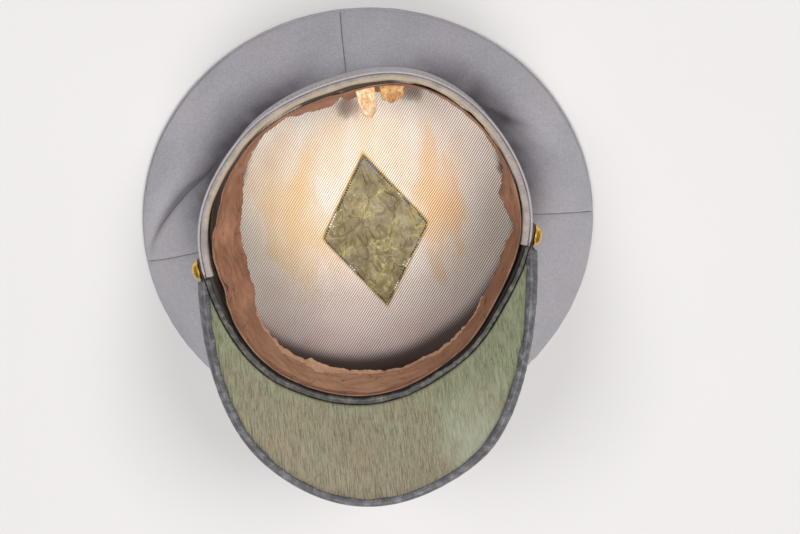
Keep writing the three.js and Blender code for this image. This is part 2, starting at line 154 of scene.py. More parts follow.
strap_width = 11
strap_thick = 1.5
strap_gap = 1.8
strap_end = 7
button_width = 13.5
button_dome = 4.2
button_rim = 0.8
shank_width = 3
button_angles = {"button_left": -81.5, "button_right": 85.5}
front_angle = -90
clearance = 0.3
print("crown", crown_width, "by", crown_length, "mm, rim", rim_long, "by", rim_short, "mm")

# %% [markdown]
# Hand-sewn and worn forms are never quite regular. A sum of a few sine waves in seeded directions gives a
# smooth wandering value at any point, cheap enough for a hundred thousand points, and the same on every
# run. What was read off the photograph around the cap stands in tables, blended softly between their rows.

# %% Wandering values and tables
def wander(points, size, seed, waves=14):
    """A smooth value of about -1 to 1 at each point, which changes over about that size."""
    chance = np.random.default_rng(seed)
    points = np.asarray(points, float)
    directions = chance.normal(size=(waves, points.shape[-1]))
    directions /= np.linalg.norm(directions, axis=1)[:, None]
    pitch = 2 * math.pi / (size * chance.uniform(0.7, 1.6, waves))
    phases = chance.uniform(0, 2 * math.pi, waves)
    total = np.zeros(points.shape[:-1])
    for direction, rate, phase in zip(directions, pitch, phases):
        total += np.sin(points @ direction * rate + phase)
    return total / math.sqrt(waves)


def short_turn(angle, middle):
    """Degrees from a middle to an angle, the short way round."""
    return (np.asarray(angle, float) - middle + 180) % 360 - 180


def window(angle, middle, spread):
    """1 near an angle, falling softly to 0 about that many degrees to either side."""
    return np.exp(-((short_turn(angle, middle) / spread) ** 4))


def hump(value, spread):
    """1 where a value is 0, falling softly to 0 on both sides."""
    return np.exp(-((value / spread) ** 2))


def smooth_step(low, high, value):
    share = np.clip((np.asarray(value, float) - low) / (high - low), 0, 1)
    return share * share * (3 - 2 * share)


def table(columns, *rows):
    return [dict(zip(columns.split(), row)) for row in rows]


def around(rows, key, angle):
    """A value from a table of rows around the cap, blended softly between them."""
    places = np.array([row["at"] for row in rows] + [rows[0]["at"] + 360], float)
    values = np.array([row[key] for row in rows] + [rows[0][key]], float)
    turn = (np.asarray(angle, float) - places[0]) % 360 + places[0]
    after = np.clip(np.searchsorted(places, turn, side="right"), 1, len(places) - 1)
    share = (turn - places[after - 1]) / (places[after] - places[after - 1])
    return values[after - 1] + (values[after] - values[after - 1]) * (1 - np.cos(math.pi * share)) / 2


def turned(x, y, degrees):
    c, s = math.cos(math.radians(degrees)), math.sin(math.radians(degrees))
    return c * x - s * y, s * x + c * y


print("wandering values at 0, 5 and 10 mm", wander([[0, 0], [5, 0], [10, 0]], 10, 1).round(2))

# %% [markdown]
# The opening of the cap is a warped oval on a plane that tilts forwards. Nearly every piece follows it, so
# two functions carry them all: one gives a point beside that oval, the other a point on the crown's own
# outline.

# %% The oval of the rim and the outline of the crown
# How far the worn rim stands out from a true oval, as a share of its width
rim_wander = table(
    "at out",
    (0, 0.008), (36, -0.006), (64, -0.003), (101, -0.021), (140, -0.003), (168, 0.008), (206, -0.014),
    (238, 0.002), (270, 0.015), (304, 0.002), (330, -0.01),
)
tilt = math.radians(rim_tilt)
rim_center = np.array([rim_shift_right, rim_shift_back, rim_height], float)
rim_u = np.array([1.0, 0, 0])
rim_v = np.array([0, math.cos(tilt), -math.sin(tilt)])
rim_w = np.array([0, math.sin(tilt), math.cos(tilt)])


def along_rim_axes(u, v, w):
    u, v, w = np.broadcast_arrays(*(np.asarray(part, float) for part in (u, v, w)))
    return u[..., None] * rim_u + v[..., None] * rim_v + w[..., None] * rim_w


def rim_point(angle):
    from_long = np.radians(np.asarray(angle, float) - rim_turn)
    a, b = rim_long / 2, rim_short / 2
    radius = 1 / np.hypot(np.cos(from_long) / a, np.sin(from_long) / b)
    x, y = radius * np.cos(from_long), radius * np.sin(from_long)
    size = np.hypot(x / a**2, y / b**2)
    out = around(rim_wander, "out", angle) * rim_short
    return turned(x + x / a**2 / size * out, y + y / b**2 / size * out, rim_turn)


def rim_outwards(angle):
    """The rim's outward direction, in its own plane."""
    angle = np.asarray(angle, float)
    (x0, y0), (x1, y1) = rim_point(angle - 0.5), rim_point(angle + 0.5)
    size = np.hypot(x1 - x0, y1 - y0)
    return (y1 - y0) / size, (x0 - x1) / size


def by_rim(angle, out, up):
    (x, y), (nx, ny) = rim_point(angle), rim_outwards(angle)
    return rim_center + along_rim_axes(x + nx * out, y + ny * out, up)


def by_crown(angle, inset, z):
    turn = np.radians(np.asarray(angle, float))
    x = (crown_width / 2 - inset) * np.cos(turn)
    y = (crown_length / 2 - inset) * np.sin(turn)
    x, y, z = np.broadcast_arrays(x, y, np.asarray(z, float))
    return np.stack([x, y, z], -1)


rim_line = by_rim(np.linspace(0, 360, 721), 0, 0)
rim_around = float(np.linalg.norm(np.diff(rim_line, axis=0), axis=1).sum())
print("the rim is", round(rim_around), "mm around")

# %% [markdown]
# Cloth and leather are sheets, and each is given as a grid of points through its middle, in rows and
# columns. These helpers measure such a grid: its normals, the lengths along it, and how thick the cloth
# still is near an edge. Steps are finer at the edges, because that is where the faces round off.

# %% Measures of a grid
def unit(vectors):
    return vectors / np.maximum(np.linalg.norm(vectors, axis=-1, keepdims=True), 1e-12)


def starts_at_point(grid):
    return np.ptp(grid[0], axis=0).max() < 1e-6


def normals_of(grid, ring):
    down = np.gradient(grid, axis=0)
    across = (np.roll(grid, -1, 1) - np.roll(grid, 1, 1)) / 2 if ring else np.gradient(grid, axis=1)
    facing = np.cross(across, down)
    if ring and starts_at_point(grid):
        facing[0] = facing[1].mean(0)
    return unit(facing)


def lengths_along(grid, axis):
    steps = np.linalg.norm(np.diff(grid, axis=axis), axis=-1)
    start = np.zeros_like(np.take(steps, [0], axis))
    return np.concatenate([start, np.cumsum(steps, axis)], axis)


def near_edge(distance, radius):
    """The share of its thickness that a rounded sheet has at a distance from its edge."""
    inside = np.clip(np.asarray(distance, float) / radius, 0, 1)
    return 0.12 + 0.88 * np.sqrt(1 - (1 - inside) ** 2)


def steps_with_edges(length, step, radius):
    """Shares of a length, even in the middle and close together in its two rounded edges."""
    close = np.array([0, 0.12, 0.45, 1.0]) * radius / length
    middle = np.linspace(close[-1], 1 - close[-1], max(int(length / step), 2) + 1)
    return np.concatenate([close[:-1], middle, 1 - close[:-1][::-1]])


def ring_of(count):
    """Angles all the way round the cap, as the row of a grid."""
    return np.linspace(0, 360, count, endpoint=False)[None]


print("a", sweatband_width, "mm sheet has", len(steps_with_edges(sweatband_width, 0.95, 0.6)) - 1, "steps")

# %% [markdown]
# A mesh is a list of points, a list of faces and some values for each point. Blender takes whole arrays of
# them at once, which is much quicker than adding one face after another. The faces are turned over
# together where they would look inwards, so no piece depends on the direction its grid was made in.

# %% Points and faces to a mesh
def mesh_piece(name, points, faces, material, uv, values):
    """A smooth mesh object in metres. uv and the named values have a row for each point."""
    mesh = bpy.data.meshes.new(name)
    mesh.from_pydata((np.asarray(points) * MM).tolist(), [], faces)
    mesh.polygons.foreach_set("use_smooth", [True] * len(mesh.polygons))
    corners = np.zeros(len(mesh.loops), int)
    mesh.loops.foreach_get("vertex_index", corners)
    layer = mesh.uv_layers.new(name="UVMap")
    layer.data.foreach_set("uv", np.asarray(uv, float)[corners].ravel())
    for key, data in values.items():
        attribute = mesh.attributes.new(key, "FLOAT", "POINT")
        attribute.data.foreach_set("value", np.asarray(data, float).ravel())
    mesh.materials.append(material)
    print(name, len(faces), "faces")
    return new_object(name, mesh)


def quads(rows, columns, ring, first=0, flip=False):
    wide = columns if ring else columns - 1
    j, i = np.meshgrid(np.arange(wide), np.arange(rows - 1))
    a = i * columns + j
    b = i * columns + (j + 1) % columns
    found = np.stack([a, b, b + columns, a + columns], -1).reshape(-1, 4) + first
    return (found[:, ::-1] if flip else found).tolist()


def faces_outwards(points, faces):
    """The same faces, turned over together if they enclose a negative volume."""
    total = 0.0
    for size in (3, 4):
        same = np.array([f for f in faces if len(f) == size])
        for k in range(1, size - 1) if len(same) else ():
            first, second, third = (points[same[:, corner]] for corner in (0, k, k + 1))
            total += float(np.einsum("ij,ij->i", first, np.cross(second, third)).sum())
    return faces if total > 0 else [list(reversed(f)) for f in faces]


def merge_pole(piece):
    """Closes a mesh where a whole row of its points is one point."""
    solid = bmesh.new()
    solid.from_mesh(piece.data)
    bmesh.ops.remove_doubles(solid, verts=solid.verts, dist=1e-7)
    solid.to_mesh(piece.data)
    solid.free()


# %% [markdown]
# The sheet builder makes a grid's two faces and closes the edges. The thickness fades over the last half
# millimetre, so that an edge looks rolled and catches light, where a plain Solidify would leave a square
# one. A grid also carries its own UV in millimetres.


def sheet_piece(name, middle, half, material, ring=False, uv=None, **values):
    """A sheet with two faces and closed edges. half is half its thickness at each grid point."""
    rows, columns = middle.shape[:2]
    shift = normals_of(middle, ring) * np.broadcast_to(half, (rows, columns))[..., None]
    points = np.concatenate([(middle + shift).reshape(-1, 3), (middle - shift).reshape(-1, 3)])
    count = rows * columns
    number = np.arange(count).reshape(rows, columns)
    if ring:
        number = np.concatenate([number, number[:, :1]], 1)
    edges = [(number[0], True), (number[-1], False)]
    if not ring:
        edges += [(number[:, 0], False), (number[:, -1], True)]
    faces = quads(rows, columns, ring) + quads(rows, columns, ring, count, True)
    for edge, flip in edges:
        for a, b in zip(edge[:-1].tolist(), edge[1:].tolist()):
            faces.append([a, b, b + count, a + count][:: -1 if flip else 1])
    across, down = lengths_along(middle, 1), lengths_along(middle, 0)
    if uv is None:
        uv = np.stack([across, down], -1)
    named = {"back_face": np.repeat([0.0, 1.0], count)}
    for key, data in values.items():
        named[key] = np.concatenate([np.broadcast_to(data, (rows, columns)).ravel()] * 2)
    uv = np.concatenate([uv.reshape(-1, 2)] * 2)
    piece = mesh_piece(name, points, faces_outwards(points, faces), material, uv, named)
    if ring and starts_at_point(middle):
        merge_pole(piece)
    a, b = np.diff(middle, axis=0)[:, :-1], np.diff(middle, axis=1)[:-1]
    return piece


# %% [markdown]
# Cords, strips, folded edges and turned metal are skins over a row of sections. A cord that runs all the
# way round is joined to its own start, and the others get a cap at each end.

# %% Tubes, and a piece's place
def tube_piece(name, rings, material, closed=False, **values):
    """A skin over sections (stations, points, 3): joined into a loop, or shut by a cap at each end."""
    stations, count = rings.shape[:2]
    points = rings.reshape(-1, 3)
    uv = np.stack([lengths_along(rings, 0), lengths_along(rings, 1)], -1).reshape(-1, 2)
    named = {key: np.broadcast_to(data, (stations, count)).ravel() for key, data in values.items()}
    faces = quads(stations, count, True)
    last = (stations - 1) * count
    if closed:
        faces += [[last + j, last + (j + 1) % count, (j + 1) % count, j] for j in range(count)]
    else:
        first_tip, last_tip = len(points), len(points) + 1
        faces += [[first_tip, (j + 1) % count, j] for j in range(count)]
        faces += [[last_tip, last + j, last + (j + 1) % count] for j in range(count)]
        points = np.concatenate([points, rings[0].mean(0)[None], rings[-1].mean(0)[None]])
        uv = np.concatenate([uv, uv[[0, -1]]])
        named = {key: np.concatenate([data, data[[0, -1]]]) for key, data in named.items()}
    return mesh_piece(name, points, faces_outwards(points, faces), material, uv, named)


def place(piece, node, slot, held=None, *rests_on):
    """Puts a finished piece in its CAD node's place. The held argument is not used."""
    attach(piece, "root")
    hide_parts(node)


# %% [markdown]
# Materials are node trees written as maths. Placing dozens of Math nodes by name would hide what they
# say, so a small class wraps a socket, and `1 - mask` or `dirt * 0.4` adds the nodes by itself.

# %% Shader maths
class Value:
    """A number, colour or vector that changes over a surface."""

    def __init__(self, recipe, socket):
        self.recipe = recipe
        self.socket = socket

    def maths(self, operation, *others):
        inputs = dict(enumerate((self, *others)))
        return self.recipe.node("ShaderNodeMath", {"operation": operation}, inputs)

    def __add__(self, other):
        return self.maths("ADD", other)

    def __sub__(self, other):
        return self.maths("SUBTRACT", other)

    def __rsub__(self, other):
        return self.recipe.node("ShaderNodeMath", {"operation": "SUBTRACT"}, {0: other, 1: self})

    def __mul__(self, other):
        return self.maths("MULTIPLY", other)

    __radd__ = __add__
    __rmul__ = __mul__

    def between(self, low, high):
        """0 below low and 1 above high, with a soft step between them."""
        return self.recipe.node("ShaderNodeMapRange", {"interpolation_type": "SMOOTHSTEP"},
                                {"Value": self, "From Min": low, "From Max": high})


def paint(*levels):
    """A colour as a shader takes it, from the 0 to 255 numbers of a picture."""
    shares = [level / 255 for level in levels]
    return (*(v / 12.92 if v < 0.0404 else ((v + 0.055) / 1.055) ** 2.4 for v in shares), 1)


print("mid grey as a shader takes it", [round(v, 3) for v in paint(128, 128, 128)])

# %% [markdown]
# A recipe is one material. It keeps the colour reached so far: `start` mixes the ground, and each `cover`
# lays
# one more layer over it: mostly wear, as it came over the real cloth, and in some materials painted shade,
# highlight or glare. Patterns read Object coordinates, turned into millimetres, or the grid's own UV where
# they follow the piece.

# %% Recipes for materials
class Recipe:
    """One material and the nodes of its finish."""

    def __init__(self, name, **fixed):
        self.material = bpy.data.materials.new(name)
        self.material.use_nodes = True
        self.tree = self.material.node_tree
        self.tree.nodes.clear()
        end = self.tree.nodes.new("ShaderNodeOutputMaterial")
        self.shader = self.tree.nodes.new("ShaderNodeBsdfPrincipled")
        self.tree.links.new(self.shader.outputs[0], end.inputs[0])
        for socket, value in fixed.items():
            self.shader.inputs[socket.replace("_", " ")].default_value = value
        self.mm = self.vector("SCALE", self.node("ShaderNodeTexCoord", output="Object"), Scale=1000)
        self.uv = self.node("ShaderNodeTexCoord", output="UV")

    def node(self, kind, settings=None, inputs=None, output=0):
        made = self.tree.nodes.new(kind)
        for key, value in (settings or {}).items():
            setattr(made, key, value)
        for key, value in (inputs or {}).items():
            self.feed(made.inputs[key], value)
        return Value(self, made.outputs[output])

    def feed(self, socket, value):
        if isinstance(value, Value):
            self.tree.links.new(value.socket, socket)
        else:
            socket.default_value = value

    def vector(self, operation, a, b=None, output=0, **named):
        inputs = {0: a, **({} if b is None else {1: b}), **named}
        return self.node("ShaderNodeVectorMath", {"operation": operation}, inputs, output)

    def centred(self, x, y):
        return self.vector("SUBTRACT", self.mm, (x, y, 0))

    def stretched(self, x=1.0, y=1.0, z=1.0, turn=0.0, on=None):
        """Coordinates turned about Z in degrees, then scaled."""
        coordinates = on or self.mm
        if turn:
            coordinates = self.node("ShaderNodeVectorRotate", {"rotation_type": "Z_AXIS"},
                                    {"Vector": coordinates, "Angle": math.radians(turn)})
        return self.vector("MULTIPLY", coordinates, (x, y, z))

    def noise(self, scale, detail=2.0, roughness=0.5, warp=0.0, on=None):
        return self.node("ShaderNodeTexNoise", None, {
            "Vector": on or self.mm, "Scale": scale, "Detail": detail, "Roughness": roughness,
            "Distortion": warp})

    def cells(self, scale, feature="F1", output="Distance", on=None):
        return self.node("ShaderNodeTexVoronoi", {"feature": feature},
                         {"Vector": on or self.mm, "Scale": scale}, output)

    def attribute(self, name):
        return self.node("ShaderNodeAttribute", {"attribute_name": name}, output="Fac")

    def part(self, axis, of=None):
        return self.node("ShaderNodeSeparateXYZ", None, {0: of or self.mm}, axis)

    def blend(self, share, a, b, mode="MIX"):
        """A colour between two others, each a Value or its red, green and blue from 0 to 255."""
        a, b = (paint(*colour) if isinstance(colour, tuple) else colour for colour in (a, b))
        return self.node("ShaderNodeMix", {"data_type": "RGBA", "blend_type": mode, "clamp_factor": True},
                         {0: share, 6: a, 7: b}, 2)

    def start(self, share, a, b):
        self.colour = self.blend(share, a, b)

    def cover(self, share, colour, mode="MIX"):
        self.colour = self.blend(share, self.colour, colour, mode)

    def finish(self, roughness, height=None, depth_mm=0.2, strength=0.6):
        self.feed(self.shader.inputs["Base Color"], self.colour)
        self.feed(self.shader.inputs["Roughness"], roughness)
        if height is not None:
            bump = self.node("ShaderNodeBump", None, {
                "Strength": strength, "Distance": depth_mm * MM, "Height": height})
            self.feed(self.shader.inputs["Normal"], bump)
        print(self.material.name, "has", len(self.tree.nodes), "nodes")
        return self.material


# %% [markdown]
# The crown is thick milled wool. Such cloth shows no clear weave, only a mottled nap, pale flecks, faint
# larger clouds where it has rubbed or faded, and here and there a dark speck. Sheen gives the soft bright
# edge that fibres standing up from the cloth make, and the bump is only the nap. Where the mesh carries a
# shade value, in its creases near the band and along its folds, shade is painted into the wool.

# %% Grey wool
def wool(name, light, dark, speck):
    cloth = Recipe(name, Sheen_Weight=0.25, Sheen_Roughness=0.5, Specular_IOR_Level=0.2)
    nap = cloth.noise(1.5, 4, 0.8)
    tufts = cloth.noise(0.5, 3, 0.6)
    clouds = cloth.noise(0.02, 3, 0.55)
    cloth.start((nap * 0.65 + tufts * 0.15 + clouds * 0.25).between(0.36, 0.7), dark, light)
    cloth.cover(cloth.noise(2.6, 2).between(0.66, 0.74) * 0.45, (214, 210, 212))
    # Painted shade: darkens the wool where the mesh's crease value is high.
    cloth.cover(cloth.attribute("soil"), (146, 140, 142), "MULTIPLY")
    cloth.cover(cloth.noise(0.02, 2).between(0.5, 0.75) * 0.35, (250, 238, 228), "MULTIPLY")
    chosen = cloth.part(0, cloth.cells(0.05, output="Color")).between(speck, speck + 0.02)
    cloth.cover((1 - cloth.cells(0.05).between(0.02, 0.045)) * chosen * 0.8, (62, 52, 48))
    return cloth.finish(0.95, nap * 0.8 + tufts * 0.2, 0.22, 0.45)


crown_wool = wool("grey wool", (177, 174, 180), (143, 140, 147), 0.86)
buckram = wool("dark buckram", (92, 82, 76), (58, 50, 46), 0.95)
band_wool = wool("band wool", (180, 174, 175), (146, 140, 143), 0.93)

# %% [markdown]
# The rim is turned in a finer cloth of a warmer grey. Round the back, the wearer's hair oil has stained
# its inner half yellow. The piece carries a `stain` value, strongest on that side, and the shader only
# breaks it up.

# %% Rim cloth with its stain
def rim_cloth():
    cloth = Recipe("rim cloth", Sheen_Weight=0.2, Specular_IOR_Level=0.25)
    thread = cloth.noise(1.6, 3, 0.7)
    clouds = cloth.noise(0.12, 3, 0.6)
    cloth.start((thread * 0.6 + clouds * 0.5).between(0.4, 0.75), (134, 126, 124), (176, 165, 161))
    cloth.cover(cloth.noise(0.3, 3).between(0.5, 0.8) * 0.45, (128, 108, 92))
    oil = (cloth.attribute("stain") * 1.3 + (clouds - 0.5) * 0.9).between(0.3, 0.9)
    cloth.cover(oil * 0.55, (178, 158, 120))
    return cloth.finish(0.9, thread * 0.8 + clouds * 0.3, 0.25, 0.5)


turned_cloth = rim_cloth()

# %% [markdown]
# The sweatband is thin brown leather gone dry. Its grain side is matt, streaked along the band, dark
# where it was sewn to the rim, crazed with fine cracks and pricked with holes, and paler in front. Where
# the grain has peeled off, the flesh side shows as a peach suede. The mesh says which is which through
# its `flesh`, `tear`, `down` and `front` values.

# %% Sweatband leather
def band_leather():
    hide = Recipe("sweatband leather", Specular_IOR_Level=0.3)
    streaks = hide.noise(1.0, 4, 0.65, 0.6, hide.stretched(0.06, 0.5, on=hide.uv))
    clouds = hide.noise(0.06, 4, 0.6)
    grain = hide.noise(1.4, 3, 0.6)
    hide.start((streaks * 0.6 + clouds * 0.6).between(0.42, 0.8), (146, 102, 78), (182, 134, 108))
    hide.cover(hide.noise(0.1, 3).between(0.52, 0.72) * 0.3, (182, 130, 104))
    grime = 1 - (hide.attribute("down") + (clouds - 0.5) * 5).between(-0.5, 3.0)
    hide.cover(grime * 0.5, (84, 60, 46))
    # Painted shade: the back face, which faces the band across a narrow dark gap, is made nearly black.
    hide.cover(hide.attribute("back_face") * 0.85, (52, 36, 28))
    hide.cover(hide.attribute("front") * 0.55, (206, 162, 132))
    mesh_of_cracks = hide.cells(1.0, "DISTANCE_TO_EDGE", on=hide.stretched(0.05, 0.16, on=hide.uv))
    cracks = (1 - mesh_of_cracks.between(0.0, 0.02)) * hide.noise(0.05, 2).between(0.5, 0.6)
    hide.cover(cracks * 0.75, (62, 36, 28))
    pits = (1 - hide.cells(0.16).between(0.05, 0.09)) * hide.noise(0.04, 1).between(0.5, 0.56)
    hide.cover(pits * 0.85, (56, 30, 22))
    fibre = hide.noise(1.0, 4, 0.7, on=hide.stretched(0.5, 1.6, on=hide.uv))
    flesh = (hide.attribute("flesh") + (grain - 0.5) * 0.3).between(0.4, 0.6)
    hide.cover(flesh, hide.blend(fibre.between(0.3, 0.75), (206, 156, 122), (246, 212, 178)))
    tear = hide.attribute("tear").between(0.3, 0.7)
    hide.cover(tear * 0.9, (38, 24, 20))
    height = grain * 0.35 + streaks * 0.5 + fibre * flesh * 0.8 - cracks * 0.8 - pits * 0.8 - tear * 1.5
    return hide.finish(0.62 + grain * 0.2, height, 0.35, 0.7)


sweat_leather = band_leather()

# %% [markdown]
# The scraps at the back are torn bits of the same leather, seen from their fibrous flesh side, so they
# take a brighter suede. Its colour follows the bump, so highlight and shade are painted into it: nearly
# white on the crests, deep ochre in the creases.

# %% Torn suede
def torn_suede(name, pale, deep):
    suede = Recipe(name, Sheen_Weight=0.2, Specular_IOR_Level=0.2)
    fibre = suede.noise(1.0, 4, 0.7, 0.8, suede.stretched(0.9, 0.5, 0.9))
    lumps = suede.noise(0.28, 3, 0.6)
    # Painted highlight and shade: the colour runs from deep to pale with the same noise as the bump.
    suede.start((fibre * 0.5 + lumps * 0.6).between(0.36, 0.76), deep, pale)
    return suede.finish(0.95, fibre + lumps * 0.6, 0.6, 0.8)


pale_suede = torn_suede("pale suede", (255, 238, 204), (214, 156, 98))
ochre_suede = torn_suede("ochre suede", (226, 184, 128), (158, 106, 58))

# %% [markdown]
# The lining is a satin twill. Its ribs run straight across the whole dish at about 56 degrees, a little
# over a millimetre apart. A rib is a sine of the distance across the ribs, bent a little by a slow noise
# and broken along its length into the short floats of the yarn. Under the grooves lie the stains that
# sweat and oil have left, each a soft ellipse whose place, reach and colour are rows of a short table, and
# a yellow halo round the patch. The last two rows of that table are painted shadows of the torn scraps.
# The front of the dish is painted darker and greyer as shade, and the mesh's `tucked` value darkens,
# as painted shade, what lies behind the leather or rises to the band.

# %% Twill lining
twill_pitch = 1.3
twill_float = 1.1
twill_turn = 55.7
lining_stains_and_shadows = table(
    "x y wide long turn strength colour",
    (-44, 2, 30, 48, 8, 0.8, (242, 206, 148)),
    (-54, 40, 20, 34, -20, 0.5, (246, 214, 166)),
    (-36, 38, 12, 34, -12, 0.5, (246, 210, 156)),
    (-17, 56, 10, 34, -8, 0.4, (248, 214, 166)),
    (-4, 40, 60, 44, 0, 0.25, (246, 212, 168)),
    (44, 12, 20, 50, 4, 0.85, (250, 204, 146)),
    (20, 52, 14, 34, 8, 0.35, (248, 216, 178)),
    (40, -28, 7, 20, 20, 0.45, (236, 192, 140)),
    (3, 56, 9, 30, 4, 0.35, (246, 208, 146)),
    # The last two rows are painted shadows that the torn scraps cast on the lining.
    (-8, 77, 9, 9, 0, 0.75, (124, 96, 80)),
    (32, 84, 9, 7, 0, 0.75, (124, 92, 72)),
)


def twill():
    cloth = Recipe("twill lining", Sheen_Weight=0.1, Specular_IOR_Level=0.35)
    right, back = cloth.part(0), cloth.part(1)
    bend = cloth.noise(0.05, 2)
    along_ribs = cloth.stretched(turn=-twill_turn)
    phase = cloth.part(1, along_ribs) + bend * 1.4 + cloth.noise(0.6, 2, 0.6) * 0.16
    phase = phase * (2 * math.pi / twill_pitch)
    rib = phase.maths("SINE") * 0.5 + 0.5
    yarn = cloth.part(0, along_ribs) * (2 * math.pi / twill_float) + phase * 0.5
    floats = yarn.maths("SINE") * 0.5 + 0.5
    cloth.start(bend.between(0.3, 0.7), (255, 240, 226), (255, 247, 236))
    # Painted shade: the front of the lining, under the front wall, is tinted darker and greyer.
    cloth.cover((back * -0.02).between(0.45, 1.6), (240, 230, 236), "MULTIPLY")
    streaky = cloth.noise(0.07, 5, 0.62, 0.3, cloth.stretched(1.0, 0.4, 1.0))
    # Stains, and in the last two rows painted shadows of the scraps, each a soft ragged ellipse.
    for row in lining_stains_and_shadows:
        centred = cloth.centred(row["x"], row["y"])
        shape = cloth.stretched(1 / row["wide"], 1 / row["long"], 0, -row["turn"], centred)
        ragged = cloth.vector("LENGTH", shape, output="Value") + (streaky - 0.5) * 1.6
        stain = (1 - ragged.between(0.1, 1.2)) * 0.8 + (1 - ragged.between(0.66, 0.8)) * 0.2
        cloth.cover(stain * row["strength"], row["colour"])
    centred = cloth.centred(shield_right, shield_back)
    in_shield = cloth.stretched(2 / shield_wide, 2 / shield_long, 0, -shield_turn, centred)
    from_middle = cloth.part(0, in_shield).maths("ABSOLUTE") + cloth.part(1, in_shield).maths("ABSOLUTE")
    halo = 1 - (from_middle + (cloth.noise(0.16, 3) - 0.5) * 0.08).between(1.0, 1.08)
    cloth.cover(halo * 0.75, (232, 196, 104))
    contrast = (right * 0.008 - back * 0.005 + cloth.noise(0.03, 3)).between(0.1, 1.1) * 0.35 + 0.7
    groove = (1 - rib.between(0.1, 0.58)) * contrast * (0.75 + floats * 0.25)
    cloth.cover(groove * 0.92, (112, 64, 54), "MULTIPLY")
    cloth.cover((1 - cloth.cells(0.045).between(0.012, 0.022)) * 0.6, (90, 62, 60))
    # Painted shade behind the leather and where the lining rises to the band.
    cloth.cover(cloth.attribute("tucked") * 0.9, (66, 50, 42))
    return cloth.finish(0.78, rib * 0.8 + floats * 0.3, 0.18, 0.5)


lining_twill = twill()

# %% [markdown]
# The patch that keeps hair oil off the lining is a varnished film, creased like old cellophane. Cells of
# two sizes bend its surface into facets. Their borders carry thin bright gold lines, painted highlights, on
# an olive ground that shifts to grey and ochre, with a weak broken gloss. Its thread is gold, dark and blue
# by turns, and its white stretches are painted glints.

# %% Oiled film and its bright thread
def oiled_film():
    film = Recipe("oiled film", Specular_IOR_Level=0.5, Coat_Roughness=0.25)
    fine = film.noise(0.5, 4, 0.65, 1.0)
    film.start(film.noise(0.09, 4, 0.6, 0.5).between(0.35, 0.68), (124, 110, 78), (152, 139, 98))
    film.cover(film.noise(0.12, 3, 0.6, 0.8).between(0.55, 0.72) * 0.3, (186, 160, 92))
    film.cover(film.noise(0.07, 3, on=film.stretched(turn=30)).between(0.55, 0.75) * 0.4, (150, 142, 128))
    bent = film.vector("ADD", film.mm, film.vector("SCALE", film.noise(0.06, 3), Scale=14))
    broad, narrow = film.stretched(1, 0.55, 1, 25, bent), film.stretched(0.6, 1, 1, -15, bent)
    crease = 1 - film.cells(0.065, "DISTANCE_TO_EDGE", on=broad).between(0.0, 0.05)
    scratch = 1 - film.cells(0.2, "DISTANCE_TO_EDGE", on=narrow).between(0.0, 0.05)
    lit = film.noise(0.1, 2).between(0.45, 0.65)
    # Painted highlight: bright gold lines along the crease borders, where a slow noise is high.
    film.cover(crease * lit * 0.6, (208, 194, 118))
    film.cover(scratch * (1 - lit) * 0.25, (84, 76, 56))
    film.feed(film.shader.inputs["Coat Weight"], lit * 0.5)
    facets = film.cells(0.065, on=broad) * 1.3 + film.cells(0.2, on=narrow) * 0.15
    return film.finish(0.34 + fine * 0.3, facets + fine * 0.15 + crease * 0.5, 1.4, 0.75)


def bright_thread():
    thread = Recipe("bright thread", Metallic=0.35)
    choice = thread.part(0, thread.cells(0.11, output="Color")) + (thread.noise(0.9, 1) - 0.5) * 0.5
    thread.start(choice.between(0.3, 0.36), (66, 58, 46), (206, 184, 110))
    # Painted glints: white stretches of thread.
    thread.cover(choice.between(0.5, 0.54), (255, 252, 246))
    thread.cover(choice.between(0.78, 0.82), (70, 84, 150))
    return thread.finish(0.3)


oiled = oiled_film()
lurex = bright_thread()

# %% [markdown]
# The peak's facing is green leather embossed with a fine straight grain from root to edge. It is worn to
# olive brown in front, and a pale patch on the right is a painted glare. Noise stretched along the peak
# makes the broken strokes of the grain, where a wave texture would leave them whole.

# %% Green facing
def green_facing():
    hide = Recipe("green facing", Specular_IOR_Level=0.45)
    strokes = hide.noise(1.0, 3, 0.6, 0.5, hide.stretched(2.2, 0.12, 0.12, -3))
    fine = hide.noise(1.0, 2, 0.6, on=hide.stretched(3.0, 0.5, 0.5, 3))
    clouds = hide.noise(0.035, 4, 0.6)
    olive = (hide.part(1) * -0.016 + hide.part(0) * -0.003 + clouds * 2.2).between(1.5, 3.0)
    ground = hide.blend(olive, (98, 104, 74), (100, 91, 69))
    pale = hide.blend(olive, (148, 155, 124), (154, 145, 121))
    hide.start((strokes * 0.75 + fine * 0.3).between(0.34, 0.64), ground, pale)
    dark_strokes = hide.noise(1.0, 2, 0.6, 0.2, hide.stretched(1.1, 0.12, 0.12, -2)).between(0.6, 0.7)
    hide.cover(dark_strokes * 0.6, (92, 88, 66))
    # Painted glare: a soft pale patch on the right of the facing.
    in_glare = hide.stretched(1 / 36, 1 / 40, 0, on=hide.centred(68, -104))
    from_glare = hide.vector("LENGTH", in_glare, output="Value")
    hide.cover((1 - (from_glare + (clouds - 0.5) * 1.2).between(0.2, 1.2)) * 0.4, (186, 191, 172))
    hide.cover(hide.noise(0.06, 4, 0.6).between(0.58, 0.76) * 0.35, (160, 138, 112))
    return hide.finish(0.5 + fine * 0.15, strokes * 0.9 + fine * 0.4, 0.2, 0.6)


facing_leather = green_facing()

# %% [markdown]
# The other leathers and the metal need less. The black leather of the binding and the seam strip is old:
# dull, and blue-grey or brown where rubbed. The strap is brown leather, the buttons are gilt that has
# tarnished a little, and the threads differ in colour only.

